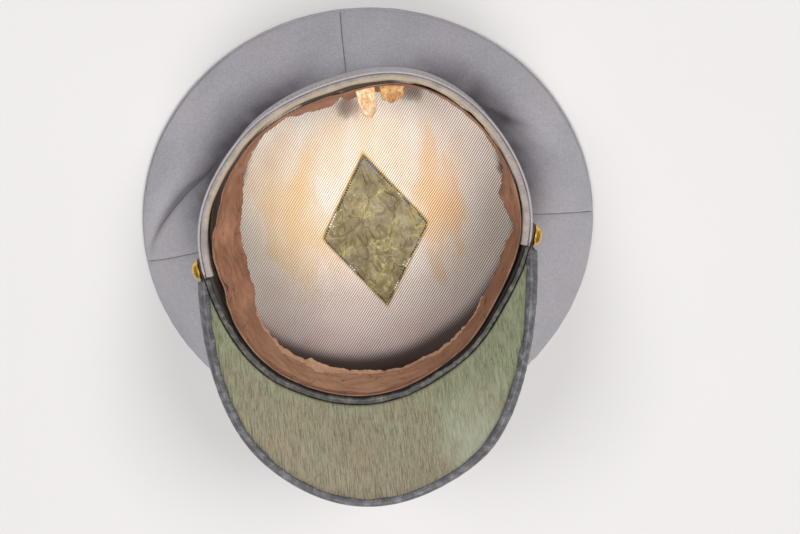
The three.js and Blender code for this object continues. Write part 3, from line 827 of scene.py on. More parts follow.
# %% Black and brown leather, gilt and thread
def black_leather(name, dull, rubbed):
    hide = Recipe(name, Specular_IOR_Level=0.5, Coat_Weight=0.15, Coat_Roughness=0.35)
    grain = hide.noise(1.3, 3, 0.6)
    wear = hide.noise(0.22, 4, 0.65)
    hide.start((wear * 0.8 + grain * 0.3).between(0.45, 0.8), dull, rubbed)
    hide.cover(hide.noise(2.2, 2).between(0.66, 0.74) * wear.between(0.45, 0.7) * 0.4, (186, 186, 190))
    return hide.finish(0.42 + grain * 0.25, grain * 0.6 + wear * 0.5, 0.25, 0.5)


def strap_leather():
    hide = Recipe("strap leather", Specular_IOR_Level=0.45)
    grain = hide.noise(1.1, 3, 0.6)
    wear = hide.noise(0.12, 4, 0.6)
    hide.start(wear.between(0.35, 0.7), (62, 46, 38), (104, 78, 64))
    return hide.finish(0.5 + grain * 0.2, grain * 0.6 + wear * 0.4, 0.25, 0.5)


def gilt():
    metal = Recipe("gilt", Metallic=1.0)
    tarnish = metal.noise(0.35, 4, 0.6)
    metal.start(tarnish.between(0.4, 0.75), (236, 192, 92), (190, 140, 60))
    return metal.finish(0.24 + tarnish * 0.2, tarnish, 0.15, 0.3)


def plain_thread(name, light, dark):
    thread = Recipe(name, Specular_IOR_Level=0.3)
    twist = thread.noise(2.4, 2)
    thread.start(twist.between(0.35, 0.7), dark, light)
    return thread.finish(0.8, twist, 0.1, 0.5)


black_hide = black_leather("black leather", (74, 74, 78), (132, 131, 135))
strip_hide = black_leather("strip leather", (34, 33, 32), (108, 102, 94))
board_hide = black_leather("peak board", (28, 28, 32), (58, 58, 64))
strap_hide = strap_leather()
button_gilt = gilt()
black_thread = plain_thread("black thread", (120, 122, 128), (54, 54, 60))
grey_thread = plain_thread("grey thread", (166, 158, 156), (104, 98, 98))
brown_thread = plain_thread("brown thread", (120, 88, 66), (58, 40, 32))

# %% [markdown]
# The crown's top is a stretched disc of wool that the cap lies on, and the welt around it is a piped cord.
# Neither shows much from above, but both are seen from the side and from below.

# %% Crown top and welt
def crown_top():
    radius = crown_length / 2 - welt_width - clearance
    near_rim = 1 - 0.9 / radius * np.array([6, 3, 1, 0.45, 0.12, 0])
    share = np.concatenate([np.linspace(0, 0.9, 16), near_rim])[:, None]
    rim = by_crown(ring_of(240), welt_width + clearance, crown_thick / 2)
    middle = rim * np.concatenate([share, share, np.ones_like(share)], 1)[:, None, :]
    half = crown_thick / 2 * near_edge((1 - share) * radius, 0.9)
    return sheet_piece("crown_top_cloth", middle, half, crown_wool, ring=True)


def crown_welt():
    radius = welt_width / 2
    angle = ring_of(420).T
    turn = np.radians(np.arange(12) * 30)[None]
    swell = 1 + 0.05 * wander(by_crown(angle, 0, 0), 9, 5)
    inset = radius - radius * swell * np.cos(turn)
    height = welt_lift + radius + radius * swell * np.sin(turn)
    return tube_piece("crown_welt_piping", by_crown(angle, inset, height), crown_wool, closed=True)


place(crown_top(), "crown_top", "crown_cloth", "stretched", "crown_welt_piping")
place(crown_welt(), "crown_welt", "crown_cloth")

# %% [markdown]
# Four quarters of wool slope from the crown's edge up to the band. Hollows are pressed into them, and two
# sharp folds run from the band out over the crown. A cloth simulation would not lay them where the real
# ones are, so each is a row of a table. A hollow is a soft dent, as in the CAD solid. A fold has its angle
# at the band and at the welt, how far out it goes, and its depth and widths in millimetres. The side with
# the larger angle is the steep one, and shade is painted along it.

# %% Hollows and folds of the crown
hollows = table(
    "at spread slant along reach deep",
    (124, 24, 0, 0.8, 0.33, 0.17), (166, 6, 26, 0.5, 0.5, 0.14), (29, 9, -22, 0.7, 0.35, 0.14),
    (232, 22, 0, 0.6, 0.4, 0.05),
)
folds = table(
    "band welt until deep wide steep",
    (150, 184, 0, 4.2, 9, 3.6), (40, 15, 0.4, 3.4, 9, 2.8),
)
welt_top = welt_lift + welt_width
quarter_seat = -band_height - clearance - quarter_thick
# The mean radius and the mean slant length of a quarter, which only set the steps of its grid
quarter_radius = 120
quarter_slant = 58


def hollow_depth(angle, along):
    depth = 0
    for row in hollows:
        turn = short_turn(angle, row["at"] + row["slant"] * (row["along"] - along))
        away = (turn / row["spread"]) ** 2 + ((along - row["along"]) / row["reach"]) ** 2
        depth = depth + row["deep"] * np.exp(-away)
    return depth


def fold_depth(angle, along, from_middle, to_band):
    """How deep the sharp folds are at a place, and how much shade is painted along them."""
    depth, dark = 0, 0
    for row in folds:
        turn = short_turn(angle - row["band"], (row["welt"] - row["band"]) * (1 - along))
        beside = np.radians(turn) * from_middle
        valley = hump(beside, np.where(beside > 0, row["steep"], row["wide"]))
        bulge = 0.3 * np.exp(-(((beside - 3 * row["steep"]) / row["steep"] / 1.5) ** 2))
        fade = smooth_step(row["until"], row["until"] + 0.45, along)
        depth = depth + row["deep"] * (valley - bulge) * fade * smooth_step(2, 16, to_band)
        dark = dark + hump(beside - 1.5, np.where(beside > 1.5, 3, 6)) * fade
    return depth, dark


print(len(hollows), "hollows and", len(folds), "sharp folds")

# %% [markdown]
# The quarter's cloth has the bow of the CAD solid. It also dips into its seams, puckers where it is eased
# into the band and the welt, and is crumpled a little everywhere. Each of these is one term added along
# the cloth's own normal, so any of them can be changed alone.

# %% Crown quarters
def on_quarter(angle, along):
    """A point in the middle of the quarter's cloth, its normal, and the cloth's length there."""
    def edge(turn):
        return by_crown(turn, quarter_thick, welt_top + clearance)

    def seat(turn):
        return by_rim(turn, -quarter_thick, quarter_seat)

    part = along[..., None]
    low, high = edge(angle), seat(angle)
    across = high - low
    length = np.linalg.norm(across, axis=-1)
    side = (edge(angle + 1) - edge(angle - 1)) * (1 - part) + (seat(angle + 1) - seat(angle - 1)) * part
    normal = -unit(np.cross(side, np.broadcast_to(across, side.shape)))
    normal = normal * np.sign(normal[..., 2:])
    bow = np.sin(math.pi * along)
    swell = bow * quarter_bow - hollow_depth(angle, along) * length * bow + quarter_thick / 2
    return low + across * part + normal * swell[..., None], normal, length


def crown_quarter(name, start, end):
    trim = math.degrees(clearance / (rim_short / 2)) / 2
    share = steps_with_edges(math.radians(end - start) * quarter_radius, 1.7, 1.2)
    angle = (start + trim + (end - start - 2 * trim) * share)[None]
    along = steps_with_edges(quarter_slant, 1.5, 0.9)[:, None]
    middle, normal, length = on_quarter(angle, along)
    from_middle = np.linalg.norm(middle[..., :2], axis=-1)
    to_seam = np.minimum(angle - start, end - angle) * math.radians(1) * from_middle
    to_band, to_welt = (1 - along) * length, along * length
    arc = np.stack([np.radians(angle) * quarter_radius + 0 * along, 0 * angle + 0 * along], -1)
    seam_dip = -0.75 * hump(to_seam, 1.8)
    seam_pucker = 0.16 * wander(middle, 7, 11) * hump(to_seam, 7)
    band_pucker = (0.45 * wander(arc, 8, 12) + 0.2 * wander(arc, 3.5, 13)) * hump(to_band, 9)
    welt_pucker = 0.22 * wander(arc, 5, 14) * hump(to_welt, 4)
    crease = np.maximum(window(angle, 33, 38), window(angle, 142, 40))
    fold, fold_shade = fold_depth(angle, along, from_middle, to_band)
    # Painted shade: darker near the band in the creased stretches and along the steep side of each fold.
    soil = crease * hump(to_band, 14) * (1 + 0.12 * wander(middle, 12, 17)) + 0.75 * fold_shade
    pressed = -0.9 * crease * hump(to_band - 6, 6) - fold
    crumple = 0.5 * wander(middle, 34, 15) + 0.16 * wander(middle, 11, 16)
    crumple = crumple * np.sin(math.pi * along) ** 0.5
    lift = seam_dip + seam_pucker + band_pucker + welt_pucker + pressed + crumple
    middle = middle + normal * lift[..., None]
    half = quarter_thick / 2 * near_edge(to_seam, 0.9) * near_edge(to_band, 0.8) * near_edge(to_welt, 0.8)
    return sheet_piece(name, middle, half, crown_wool, soil=np.clip(soil, 0, 1))


quarter_names = ("back_right", "back_left", "front_left", "front_right")
for name, start, end in zip(quarter_names, seam_angles, (*seam_angles[1:], seam_angles[0] + 360)):
    quarter = crown_quarter("crown_cloth_" + name, start, end)
    place(quarter, "crown_quarter_" + name, "crown_cloth", "stretched", "crown_welt_piping")

# %% [markdown]
# The band is two walls. A stiff inner one carries the shape, and an outer one of wool wraps it, with its
# top edge turned over just below the rim. The outer wall gets the slow waves of cloth that is only held
# along its edges.

# %% Band
band_out = -outer_band_thick - clearance
band_in = band_out - band_thick
band_top = -edge_roll_thick - clearance
roll_out = band_out - 0.5 * clearance
roll_in = roll_out - edge_roll_width
ring_angles = ring_of(480)


def wall(name, out, top, thick, material, waves, seed):
    bottom = -band_height
    length = float(np.mean(top)) - bottom
    share = steps_with_edges(length, 1.6, thick / 2)[:, None]
    height = top - (top - bottom) * share
    arc = by_rim(ring_angles, 0, height)
    bend = waves * wander(arc, 30, seed) * np.sin(math.pi * np.clip(share, 0, 1)) ** 0.7
    middle = by_rim(ring_angles, out + bend, height + 0.15 * waves * wander(arc, 40, seed + 1))
    half = thick / 2 * near_edge(np.minimum(share, 1 - share) * length, thick / 2)
    return sheet_piece(name, middle, half, material, ring=True)


inner_wall = wall("band_wall", (band_in + band_out) / 2, band_top, band_thick, buckram, 0.05, 21)
place(inner_wall, "band", "band_cloth")
# Behind the edge roll the outer wall reaches up close under the rim
beside_roll = smooth_step(99, 96, np.abs(short_turn(ring_angles, 91.6)))
outer_top = -outer_band_setback + 2.1 * beside_roll
outer_wall = wall("outer_band_cloth", -outer_band_thick / 2, outer_top, outer_band_thick, band_wool,
                  0.28, 23)
place(outer_wall, "outer_band", "band_cloth", "stretched", "band_wall")

# %% [markdown]
# The rim is finished two ways. Round the back a strip of fine cloth is rolled over a cord, and round the
# front a strip of black leather covers the seam of the peak. Both are bars with one section, flat below
# and swept along the oval. Two tables hold their widths seen from above, in millimetres, where they were
# pulled tighter or left fuller.

# %% Edge roll and seam strip
roll_widths = table(
    "at wide",
    (355, 4.1), (10, 4), (20, 5.1), (40, 4.7), (60, 5), (70, 5.5), (80, 6.3), (90, 6.8), (100, 6.2),
    (120, 5.9), (140, 5.4), (165, 4.8), (190, 4.6), (270, 4.2),
)
strip_widths = table(
    "at wide",
    (195, 3.6), (220, 3.8), (265, 4.2), (290, 3.7), (310, 3.1), (345, 2.9),
)
peak_root_out = clearance + 0.1
strip_gap = math.degrees(clearance / rim_short)
rim_step = 1.5


def along_rim(start, end):
    count = int(abs(end - start) / 360 * rim_around / rim_step)
    return front_angle + np.linspace(start, end, count + 1)[:, None]


def rim_bar(name, angle, out, up, low, material, **values):
    """A bar along the rim. Its section is bent over the top and ends in two corners at a flat underside."""
    out = np.concatenate([out, out[:, -1:], out[:, :1]], 1)
    up = np.concatenate([up, np.full_like(up[:, :2], low)], 1)
    return tube_piece(name, by_rim(angle, out, up), material, **values)


def edge_roll():
    angle = along_rim(peak_end_right_angle + strip_gap, peak_end_left_angle - strip_gap + 360)
    line = by_rim(angle, 0, 0)
    half_width = around(roll_widths, "wide", angle) / 2 * (1 + 0.05 * wander(line, 16, 31))
    turn = np.radians(np.linspace(0, 180, 13))[None]
    out = roll_out + 0.3 - half_width * (1 - np.cos(turn)) + 0.1 * wander(line, 20, 33)
    fullness = np.where(turn < math.pi / 2 - 1e-6, 0.4, 0.8)
    up = edge_roll_width / 2 * (np.sin(turn) ** fullness - 1) + 0.16 * wander(line, 12, 34)
    inner_side = smooth_step(-0.55, 0.35, -np.cos(np.concatenate([turn, [[math.pi, 0]]], 1)))
    stain = inner_side * (0.35 + 0.65 * window(angle, 102, 62))
    return rim_bar("edge_roll_cloth", angle, out, up, -edge_roll_thick, turned_cloth, stain=stain)


def seam_strip():
    angle = along_rim(peak_end_left_angle + strip_gap, peak_end_right_angle - strip_gap)
    line = by_rim(angle, 0, 0)
    low = seam_strip_proud - seam_strip_thick
    turn = np.radians(np.linspace(0, 180, 17))[None]
    half_width = around(strip_widths, "wide", angle) / 2 * (1 + 0.03 * wander(line, 9, 42))
    middle = peak_root_out - clearance - half_width + 0.1 * wander(line, 20, 41)
    ridge = np.sin(turn) ** 0.7 - 0.22 * hump(np.cos(turn), 0.28)
    up = low + seam_strip_thick * (0.35 + 0.72 * ridge) + 0.14 * wander(line, 8, 43)
    return rim_bar("seam_strip_leather", angle, middle + half_width * np.cos(turn), up, low, strip_hide)


place(edge_roll(), "edge_roll", "edge_cloth")
place(seam_strip(), "seam_strip", "black_leather")

# %% [markdown]
# The sweatband is the piece with the most wear. Its top is sewn inside the rim but has pulled away on the
# left. Its free edge leans into the hollow by a different amount all the way round, and has lost its grain
# side, most of all in front, so that a strip of pale flesh shows. One table around the cap holds all
# three, in millimetres. Splits run along the leather: their table says where they are, how far down, how
# long in degrees, and how wide and slanted.

# %% Wear of the sweatband
sweatband_out = roll_in - clearance
free_edge = table(
    "at in_by peeled off",
    (0, 11.4, 1, 0), (5, 13.9, 1, 0), (10, 15.7, 0.9, 0), (14, 13.1, 0.9, 0), (20, 9.5, 0.8, 0),
    (26, 8.3, 0.6, 0), (38, 7.5, 0.5, 0), (50, 9.2, 0.5, 0), (65, 9.2, 0.5, 0), (75, 12.5, 0.5, 0),
    (82, 14.2, 0.5, 0.5), (90, 15.4, 1, 1.1), (95, 15.5, 1.2, 1.5), (97, 11.8, 1.2, 1.4),
    (101, 14.7, 0.8, 0.5), (108, 14.9, 0.6, 0.5), (115, 13.9, 0.4, 0.4), (120, 9.9, 0.4, 0.4),
    (126, 10.3, 0.5, 0.3), (132, 9.8, 0.6, 0.2), (139, 10.8, 0.6, 0.2), (145, 12.8, 0.6, 0.4),
    (150, 14.9, 0.5, 0.6), (156, 17.9, 0.5, 1.3), (163, 21.4, 0.5, 2.9), (170, 22.8, 0.5, 3.3),
    (176, 22.9, 0.5, 1.8), (184, 23.4, 0.4, 1.4), (190, 23.5, 0.4, 2.2), (196, 22.3, 0.4, 3),
    (204, 21.9, 0.4, 1), (210, 17.7, 1.6, 0), (214, 15.5, 2.2, 0), (221, 13.7, 3.5, 0),
    (230, 13.3, 4.5, 0.3), (242, 12.2, 3.5, 0.1), (244, 14.1, 6.5, 0), (248, 13.1, 7, 0),
    (254, 12.6, 5.4, 0), (260, 12.8, 4.3, 0), (266, 13.5, 3.4, 0), (272, 12.3, 3.8, 0), (276, 10.7, 4, 0),
    (282, 8.4, 4.6, 0), (290, 8.3, 3, 0), (298, 7.4, 5.5, 0), (306, 7.5, 7.5, 0), (314, 7.7, 7.5, 0),
    (322, 8, 6, 0), (324, 8.6, 3.5, 0), (330, 7.8, 1, 0), (338, 7.9, 0.9, 0), (345, 9.2, 0.8, 0),
    (349, 10.4, 0.8, 0), (352, 9.5, 1.9, 0), (355, 8, 2.1, 0),
)
splits = table(
    "at down long wide slant",
    (4, 9, 9, 0.9, 3), (14, 15, 4, 0.8, -2), (326, 25, 3, 1.2, 7), (232, 27, 4, 0.5, -3),
    (196, 4, 2.2, 1, 1),
)


def on_sweatband(angle, down):
    """A point on the leather's inner face, at a way down from its top edge."""
    in_by = around(free_edge, "in_by", angle)
    sewn_at = around(roll_widths, "wide", angle) - edge_roll_width - 0.45
    off = np.maximum(around(free_edge, "off", angle), sewn_at) - 1.9 * window(angle, 268, 72)
    lean = np.clip((in_by + sweatband_out - sweatband_thick - off) / sweatband_width, -0.05, 0.6)
    reach_in = sweatband_out - sweatband_thick - lean * down - off
    return by_rim(angle, reach_in, -sweatband_setback - np.sqrt(1 - lean**2) * down)


def tear_at(angle, down, line):
    tear = 0
    for row in splits:
        turn = short_turn(angle, row["at"])
        off_line = down - row["down"] - row["slant"] * turn / row["long"] - 0.5 * wander(line, 4, 56)
        narrow = row["wide"] * np.clip(1 - (turn / row["long"]) ** 2, 0, 1) ** 0.5 + 1e-3
        open_here = smooth_step(1.25, 0.6, np.abs(off_line) / narrow) * (np.abs(turn) < row["long"])
        tear = np.maximum(tear, open_here)
    return tear


print("the free edge reaches in by up to", max(row["in_by"] for row in free_edge), "mm")

# %% [markdown]
# The leather hangs from the rim as one ring, so its grid runs once round the cap and down from the sewn
# edge to the free one. The free edge is ragged and bitten, less so on the left, and curls where it is.
# Peeled and torn places are thinner, and the grid hands them to the material as values.

# %% Sweatband
def sweatband():
    angle = ring_of(900)
    line = by_rim(angle, 0, 0)
    rough = 1 - 0.8 * window(angle, 192, 32) - 0.5 * window(angle, 262, 30)
    ragged = (0.45 * wander(line, 7, 51) + 0.22 * wander(line, 2.6, 52)) * rough
    bite = np.clip(wander(line, 4.5, 53) - 0.9, 0, 1) * 2.4 * rough
    length = sweatband_width + ragged - bite
    down = steps_with_edges(sweatband_width, 0.95, 0.6)[:, None] * length
    to_edge = length - down
    middle = on_sweatband(angle, down)
    front = window(angle, 258, 45)
    peeled = around(free_edge, "peeled", angle) * (1 + 0.9 * front)
    peeled = peeled + 0.5 * wander(line, 3, 54) + 0.35 * wander(line, 9, 55)
    flesh = smooth_step(0.35, -0.35, to_edge - peeled) * smooth_step(0.0, 0.25, peeled)
    tear = tear_at(angle, down, line)
    fold = -0.5 * front * hump(down - 5 - 0.8 * wander(line, 25, 57), 1.1)
    swell = 0.55 * wander(middle, 24, 58) + 0.18 * wander(middle, 7, 59) + 0.07 * wander(middle, 2.6, 60)
    swell = swell * smooth_step(0, 4, down) + fold - 0.35 * flesh - 0.5 * tear
    curl = (ragged - 0.4 * bite) * smooth_step(5, 0, to_edge) * 0.7
    inwards = -along_rim_axes(*rim_outwards(angle), 0)
    middle = middle + inwards * (swell + curl - sweatband_thick / 2)[..., None]
    half = sweatband_thick / 2 * near_edge(np.minimum(down, to_edge), 0.6) * (1 - 0.35 * flesh)
    along = np.broadcast_to(np.radians(angle) * rim_around / (2 * math.pi), down.shape)
    return sheet_piece("sweatband_leather", middle, half, sweat_leather, True, np.stack([along, down], -1),
                       flesh=flesh, tear=tear, down=down, front=front * smooth_step(2, 8, down))


place(sweatband(), "sweatband", "sweat_leather", "hung", "edge_roll_cloth", "seam_strip_leather")

# %% [markdown]
# The lining is one dish of cloth. It runs flat over the crown's wadding, turns up near the crown's edge
# and comes back to the band behind the sweatband. The wadding makes it slightly uneven, and at the back
# left it is gathered into a few soft pleats that run outwards. Its `tucked` value is high where it lies
# behind the leather or rises to the band, where hardly any light gets in.

# %% Lining
def floor_relief(x, y):
    """How far the lining's floor lies above its flat height."""
    place_on_floor = np.stack([x, y], -1)
    turn = np.degrees(np.arctan2(y, x)) % 360
    out = np.hypot(x, y)
    pleats = np.sin(np.radians(turn) * 30 + 1.5 * wander(place_on_floor, 40, 71))
    gathered = np.exp(-(((turn - 130) / 42) ** 4)) * smooth_step(28, 60, out)
    return 0.4 * wander(place_on_floor, 46, 72) * smooth_step(10, 50, out) + 0.35 * pleats * gathered


def tucked_away(points):
    """How far points of the lining are out of the light, from 0 to 1."""
    x, y = points[..., 0] - rim_center[0], points[..., 1] - rim_center[1]
    turn = np.degrees(np.arctan2(y, x))
    under = np.hypot(*rim_point(turn)) - np.hypot(x, y)
    past_edge = under - around(free_edge, "in_by", turn) + 3 - 16 * np.sin(np.radians(turn))
    behind_leather = smooth_step(-1, -4, past_edge)
    front_shade = 0.5 * window(turn, 268, 32) * smooth_step(9, -1, past_edge)
    behind_rim = smooth_step(2, -8, under)
    risen = smooth_step(0.6, 6, points[..., 2] - lining_floor)
    return np.max([behind_leather, front_shade, behind_rim, risen], 0)


def lining():
    angle = ring_of(400)
    floor_edge = by_crown(angle, lining_inset + lining_thick / 2, lining_floor - lining_thick / 2)
    wall_out = band_in - clearance - lining_thick / 2
    foot = by_rim(angle, wall_out, -band_height - quarter_thick)
    top = by_rim(angle, wall_out, -band_height + lining_tuck)
    floor_share = np.linspace(0, 0.97, 56)[:, None, None]
    rise_share = np.linspace(0.03, 0.97, 22)[:, None, None]
    wall_share = np.concatenate([np.linspace(0.05, 0.93, 7), [0.97, 0.99, 1]])[:, None, None]
    center = np.array([0, 0, lining_floor - lining_thick / 2])
    floor = center + (floor_edge - center) * floor_share
    floor[..., 2] += floor_relief(floor[..., 0], floor[..., 1]) * (1 - floor_share[..., 0] ** 8)
    rise = floor_edge + (foot - floor_edge) * rise_share
    upright = foot + (top - foot) * wall_share
    middle = np.concatenate([floor, rise, upright])
    half = lining_thick / 2 * near_edge(np.linalg.norm(middle - middle[-1:], axis=-1), 0.5)
    return sheet_piece("lining_twill", middle, half, lining_twill, ring=True, tucked=tucked_away(middle))


place(lining(), "lining", "lining_cloth", "stretched", "crown_top_cloth", "band_wall")

# %% [markdown]
# The sweat shield is a rhombus of film sewn on along its four sides. A square grid turned on its corner
# gives it rows along its own edges, so the hem and its stitches follow them. The film is creased in many
# directions, which is folded noise: the size of a smooth noise makes a sharp valley wherever it passes
# zero. The facets between the creases are in its material.

# %% Sweat shield
shield_side = math.hypot(shield_wide, shield_long) / 2
film_thick = 0.44


def on_shield(u, v, lift):
    """A point on the patch. u and v run from -1 to 1 along its sides."""
    x, y = (u + v) / 2 * shield_wide / 2, (u - v) / 2 * shield_long / 2
    limit = shield_wide / 2 * (1 - 0.4 * shield_corner / shield_side)
    x = limit * np.tanh(np.abs(x / limit) ** 16) ** (1 / 16) * np.sign(x)
    x, y = turned(x, y, shield_turn)
    x, y = x + shield_right, y + shield_back
    return np.stack([x, y, lining_floor + clearance + floor_relief(x, y) + lift], -1)


def sweat_shield():
    across = 2 * steps_with_edges(shield_side, 0.55, 0.35) - 1
    u, v = np.meshgrid(across, across, indexing="ij")
    to_edge = np.minimum(1 - np.abs(u), 1 - np.abs(v)) * shield_side / 2
    flat = on_shield(u, v, 0)[..., :2]
    broad, medium, fine = (np.abs(wander(flat, size, seed)) for size, seed in ((16, 81), (9, 82), (5, 83)))
    creased = 1.3 * broad + 0.6 * medium + 0.25 * fine
    in_hem = smooth_step(3.6, 3.2, to_edge)
    sewn = -0.22 * (hump(to_edge - 1.1, 0.35) + hump(to_edge - 2.7, 0.35))
    lifted = 0.35 * np.clip(wander(flat, 12, 84), 0, 1) * smooth_step(3, 0, to_edge)
    share = 0.15 + 0.85 * smooth_step(1.2, 5, to_edge)
    middle = on_shield(u, v, 0.3 + 0.28 * in_hem + sewn + lifted + creased * share)
    half = film_thick / 2 * near_edge(to_edge, 0.35) * (1 + 0.6 * in_hem)
    return sheet_piece("sweat_shield_film", middle, half, oiled)


place(sweat_shield(), "sweat_shield", "oiled_film", "laid", "lining_twill")

# %% [markdown]
# Two scraps of torn leather hang from the top of the sweatband at the back. Each is a bent tongue like its
# CAD solid, crumpled by moving its points about in all three directions, more towards its loose end.
# Apart from the thickness and the crumple, their sizes are shares of the sweatband's width.

# %% Torn scraps
scraps = table(
    "name at width length drop sag curl thick crumple material",
    ("torn_scrap", 86.8, 0.33, 0.5, 0.14, 0.24, 0.05, 1.4, 1.5, pale_suede),
    ("torn_tab", 76.5, 0.42, 0.28, 0.1, 0.08, 0.04, 1.2, 0.6, ochre_suede),
)
cad_lean = table(
    "at lean",
    (60, 0.04), (88, 0.21), (110, 0.2),
)


def scrap(row, seed):
    width = row["width"] * sweatband_width
    half_turn = math.degrees(width / rim_short)
    across = np.linspace(-1, 1, 44)[:, None]
    along = np.linspace(0, 1, 60)[None]
    angle = row["at"] + across * half_turn * (1 - 0.12 * along**2)
    lean = around(cad_lean, "lean", angle)
    down = row["drop"] * sweatband_width
    reach = row["length"] * along * (1 - 0.25 * across**2) * sweatband_width
    out = sweatband_out - lean * down - (clearance + sweatband_thick) - reach
    height = -sweatband_setback - np.sqrt(1 - lean**2) * down
    sag = row["sag"] * along**2 - row["curl"] * np.cos(2 * math.pi * across) * along
    middle = by_rim(angle, out, height + row["thick"] / 2 - sag * sweatband_width)
    loose = smooth_step(0.0, 0.4, along) * row["crumple"]
    for axis in range(3):
        lumps = wander(middle, 7, seed + axis) + 0.5 * wander(middle, 3, seed + 10 + axis)
        middle[..., axis] += lumps * loose * 0.55
    to_edge = np.minimum((1 - np.abs(across)) * width / 2, (1 - along) * row["length"] * sweatband_width)
    frayed = 1 + 0.25 * wander(middle, 2.2, seed + 20)
    half = row["thick"] / 2 * near_edge(to_edge, 1.0) * frayed
    return sheet_piece(row["name"] + "_suede", middle, half, row["material"])


for number, row in enumerate(scraps):
    place(scrap(row, 91 + 40 * number), row["name"], "suede", "hung", "sweatband_leather")

# %% [markdown]
# The peak leaves the rim along straight lines that fan out a little, so every point in it is an angle, a
# reach along that line and a depth below its facing. One function turns these three into a place, and the
# board, the facing, the binding and its stitches all use it.

# %% Points in the peak
slope = math.radians(peak_slope)
facing_back = facing_thick + clearance
peak_depth = facing_back + peak_thick
binding_lip = binding_width - binding_thick


def in_peak(from_front, reach, depth):
    from_front, reach, depth = (np.asarray(part, float) for part in (from_front, reach, depth))
    heading = np.radians(front_angle + peak_turn + peak_spread_ratio * from_front)
    level = math.cos(slope)
    direction = along_rim_axes(level * np.cos(heading), level * np.sin(heading), math.sin(slope))
    nx, ny = rim_outwards(front_angle + from_front)
    facing_normal = -unit(np.cross(along_rim_axes(-ny, nx, 0), direction))
    root = by_rim(front_angle + from_front, peak_root_out, 0)
    return root + direction * reach[..., None] - facing_normal * depth[..., None]


def peak_reach(from_front):
    end = np.where(from_front < peak_longest_angle, peak_end_left_angle, peak_end_right_angle)
    share = np.clip((from_front - peak_longest_angle) / (end - peak_longest_angle), 0, 1)
    return peak_length * (1 - share**peak_fullness_power) ** peak_taper_power


def peak_root(depth):
    return -depth * math.tan(slope)


def peak_angles(count):
    end_trim = 0.11
    turn = np.linspace(end_trim, math.pi - end_trim, count)
    return peak_end_left_angle + (peak_end_right_angle - peak_end_left_angle) * (1 - np.cos(turn)) / 2


print("the peak's tip", in_peak(peak_longest_angle, peak_length, 0).round(1))

# %% [markdown]
# The peak is black board with a green leather facing glued on its inner side, which lies upwards here.
# Both are sheets between two depths, with the same slight warp, so they can't cut into each other.

# %% Board and facing
def peak_layer(name, over, under, material):
    angle = peak_angles(260)[None]
    share = np.linspace(0, 1, 44)[:, None]
    depth = np.full(np.broadcast_shapes(angle.shape, share.shape), (over + under) / 2)
    reach = peak_root(depth) + (peak_reach(angle) - peak_root(depth)) * share
    warp = 0.25 * wander(in_peak(angle, reach, depth), 55, 101) * np.sin(math.pi * share)
    middle = in_peak(angle, reach, depth - warp)
    to_edge = np.minimum(share, 1 - share) * peak_reach(angle)
    half = (under - over) / 2 * near_edge(to_edge, (under - over) / 2)
    return sheet_piece(name, middle, half, material)


board = peak_layer("peak_board_core", facing_back, peak_depth, board_hide)
facing = peak_layer("peak_facing_leather", 0, facing_thick, facing_leather)
place(board, "peak", "peak_board")
place(facing, "peak_facing", "facing_leather", "stretched", "peak_board_core")

# %% [markdown]
# The binding is a channel of leather folded round the edge of the two. A curve with a bevel would turn
# over itself at the peak's narrow ends, so the section is swept by stepping square to the edge, and it
# steps less where the rim leaves no room.

# %% Peak binding
def dot(a, b):
    return (a * b).sum(-1)


def beside_peak_edge(from_front, inwards, depth):
    """A point a given way inwards from the peak's edge, kept clear of the rim."""
    step = 0.05
    reach = peak_reach(from_front)
    flat = np.zeros_like(reach)
    before = in_peak(from_front - step, peak_reach(from_front - step), flat)
    after = in_peak(from_front + step, peak_reach(from_front + step), flat)
    along_edge = unit(after - before)
    direction = unit(in_peak(from_front, flat + 1, flat) - in_peak(from_front, flat, flat))
    sideways = in_peak(from_front + step, reach, flat) - in_peak(from_front - step, reach, flat)
    sideways = sideways / (2 * step)
    inward = unit(np.cross(unit(np.cross(sideways, direction)), along_edge))
    inward = inward * -np.sign(dot(inward, direction))[..., None]
    flat_side = sideways - direction * dot(sideways, direction)[..., None]
    turn = dot(inward, flat_side) / dot(flat_side, flat_side)
    rise = dot(inward, direction) - turn * dot(sideways, direction)
    lowest = peak_root(depth) + clearance
    room = np.where(rise < 0, (reach - lowest) / np.maximum(-rise, 1e-6), inwards)
    way = np.minimum(inwards, np.maximum(room, 0))
    return in_peak(from_front + turn * way, reach + rise * way, depth)


def binding_section():
    """(inwards, depth) pairs: over the facing, round the edge, under the board, and back inside."""
    over_in, under_in = -clearance, peak_depth + clearance
    middle, half = (over_in + under_in) / 2, (under_in - over_in) / 2 + binding_thick
    domed = [0.72 + 0.3 * math.sin(math.pi * (k + 0.6) / 6) for k in range(5)]
    dome = [(binding_lip - binding_lip * k / 5, over_in - binding_thick * domed[k]) for k in range(5)]
    web = [(-clearance - binding_thick * math.cos(t), middle + half * math.sin(t))
           for t in np.linspace(-math.pi / 2, math.pi / 2, 11)]
    under = [(binding_lip * k / 4, under_in + binding_thick) for k in range(1, 5)]
    inner = [(binding_lip, under_in), (-clearance, under_in), (-clearance, over_in), (binding_lip, over_in)]
    return np.array(dome + web + under + inner)


def lip_growth(from_front):
    """The binding's lip was folded over further towards the ends of the peak."""
    return 0.75 + 0.3 * (np.asarray(from_front) / 80) ** 4


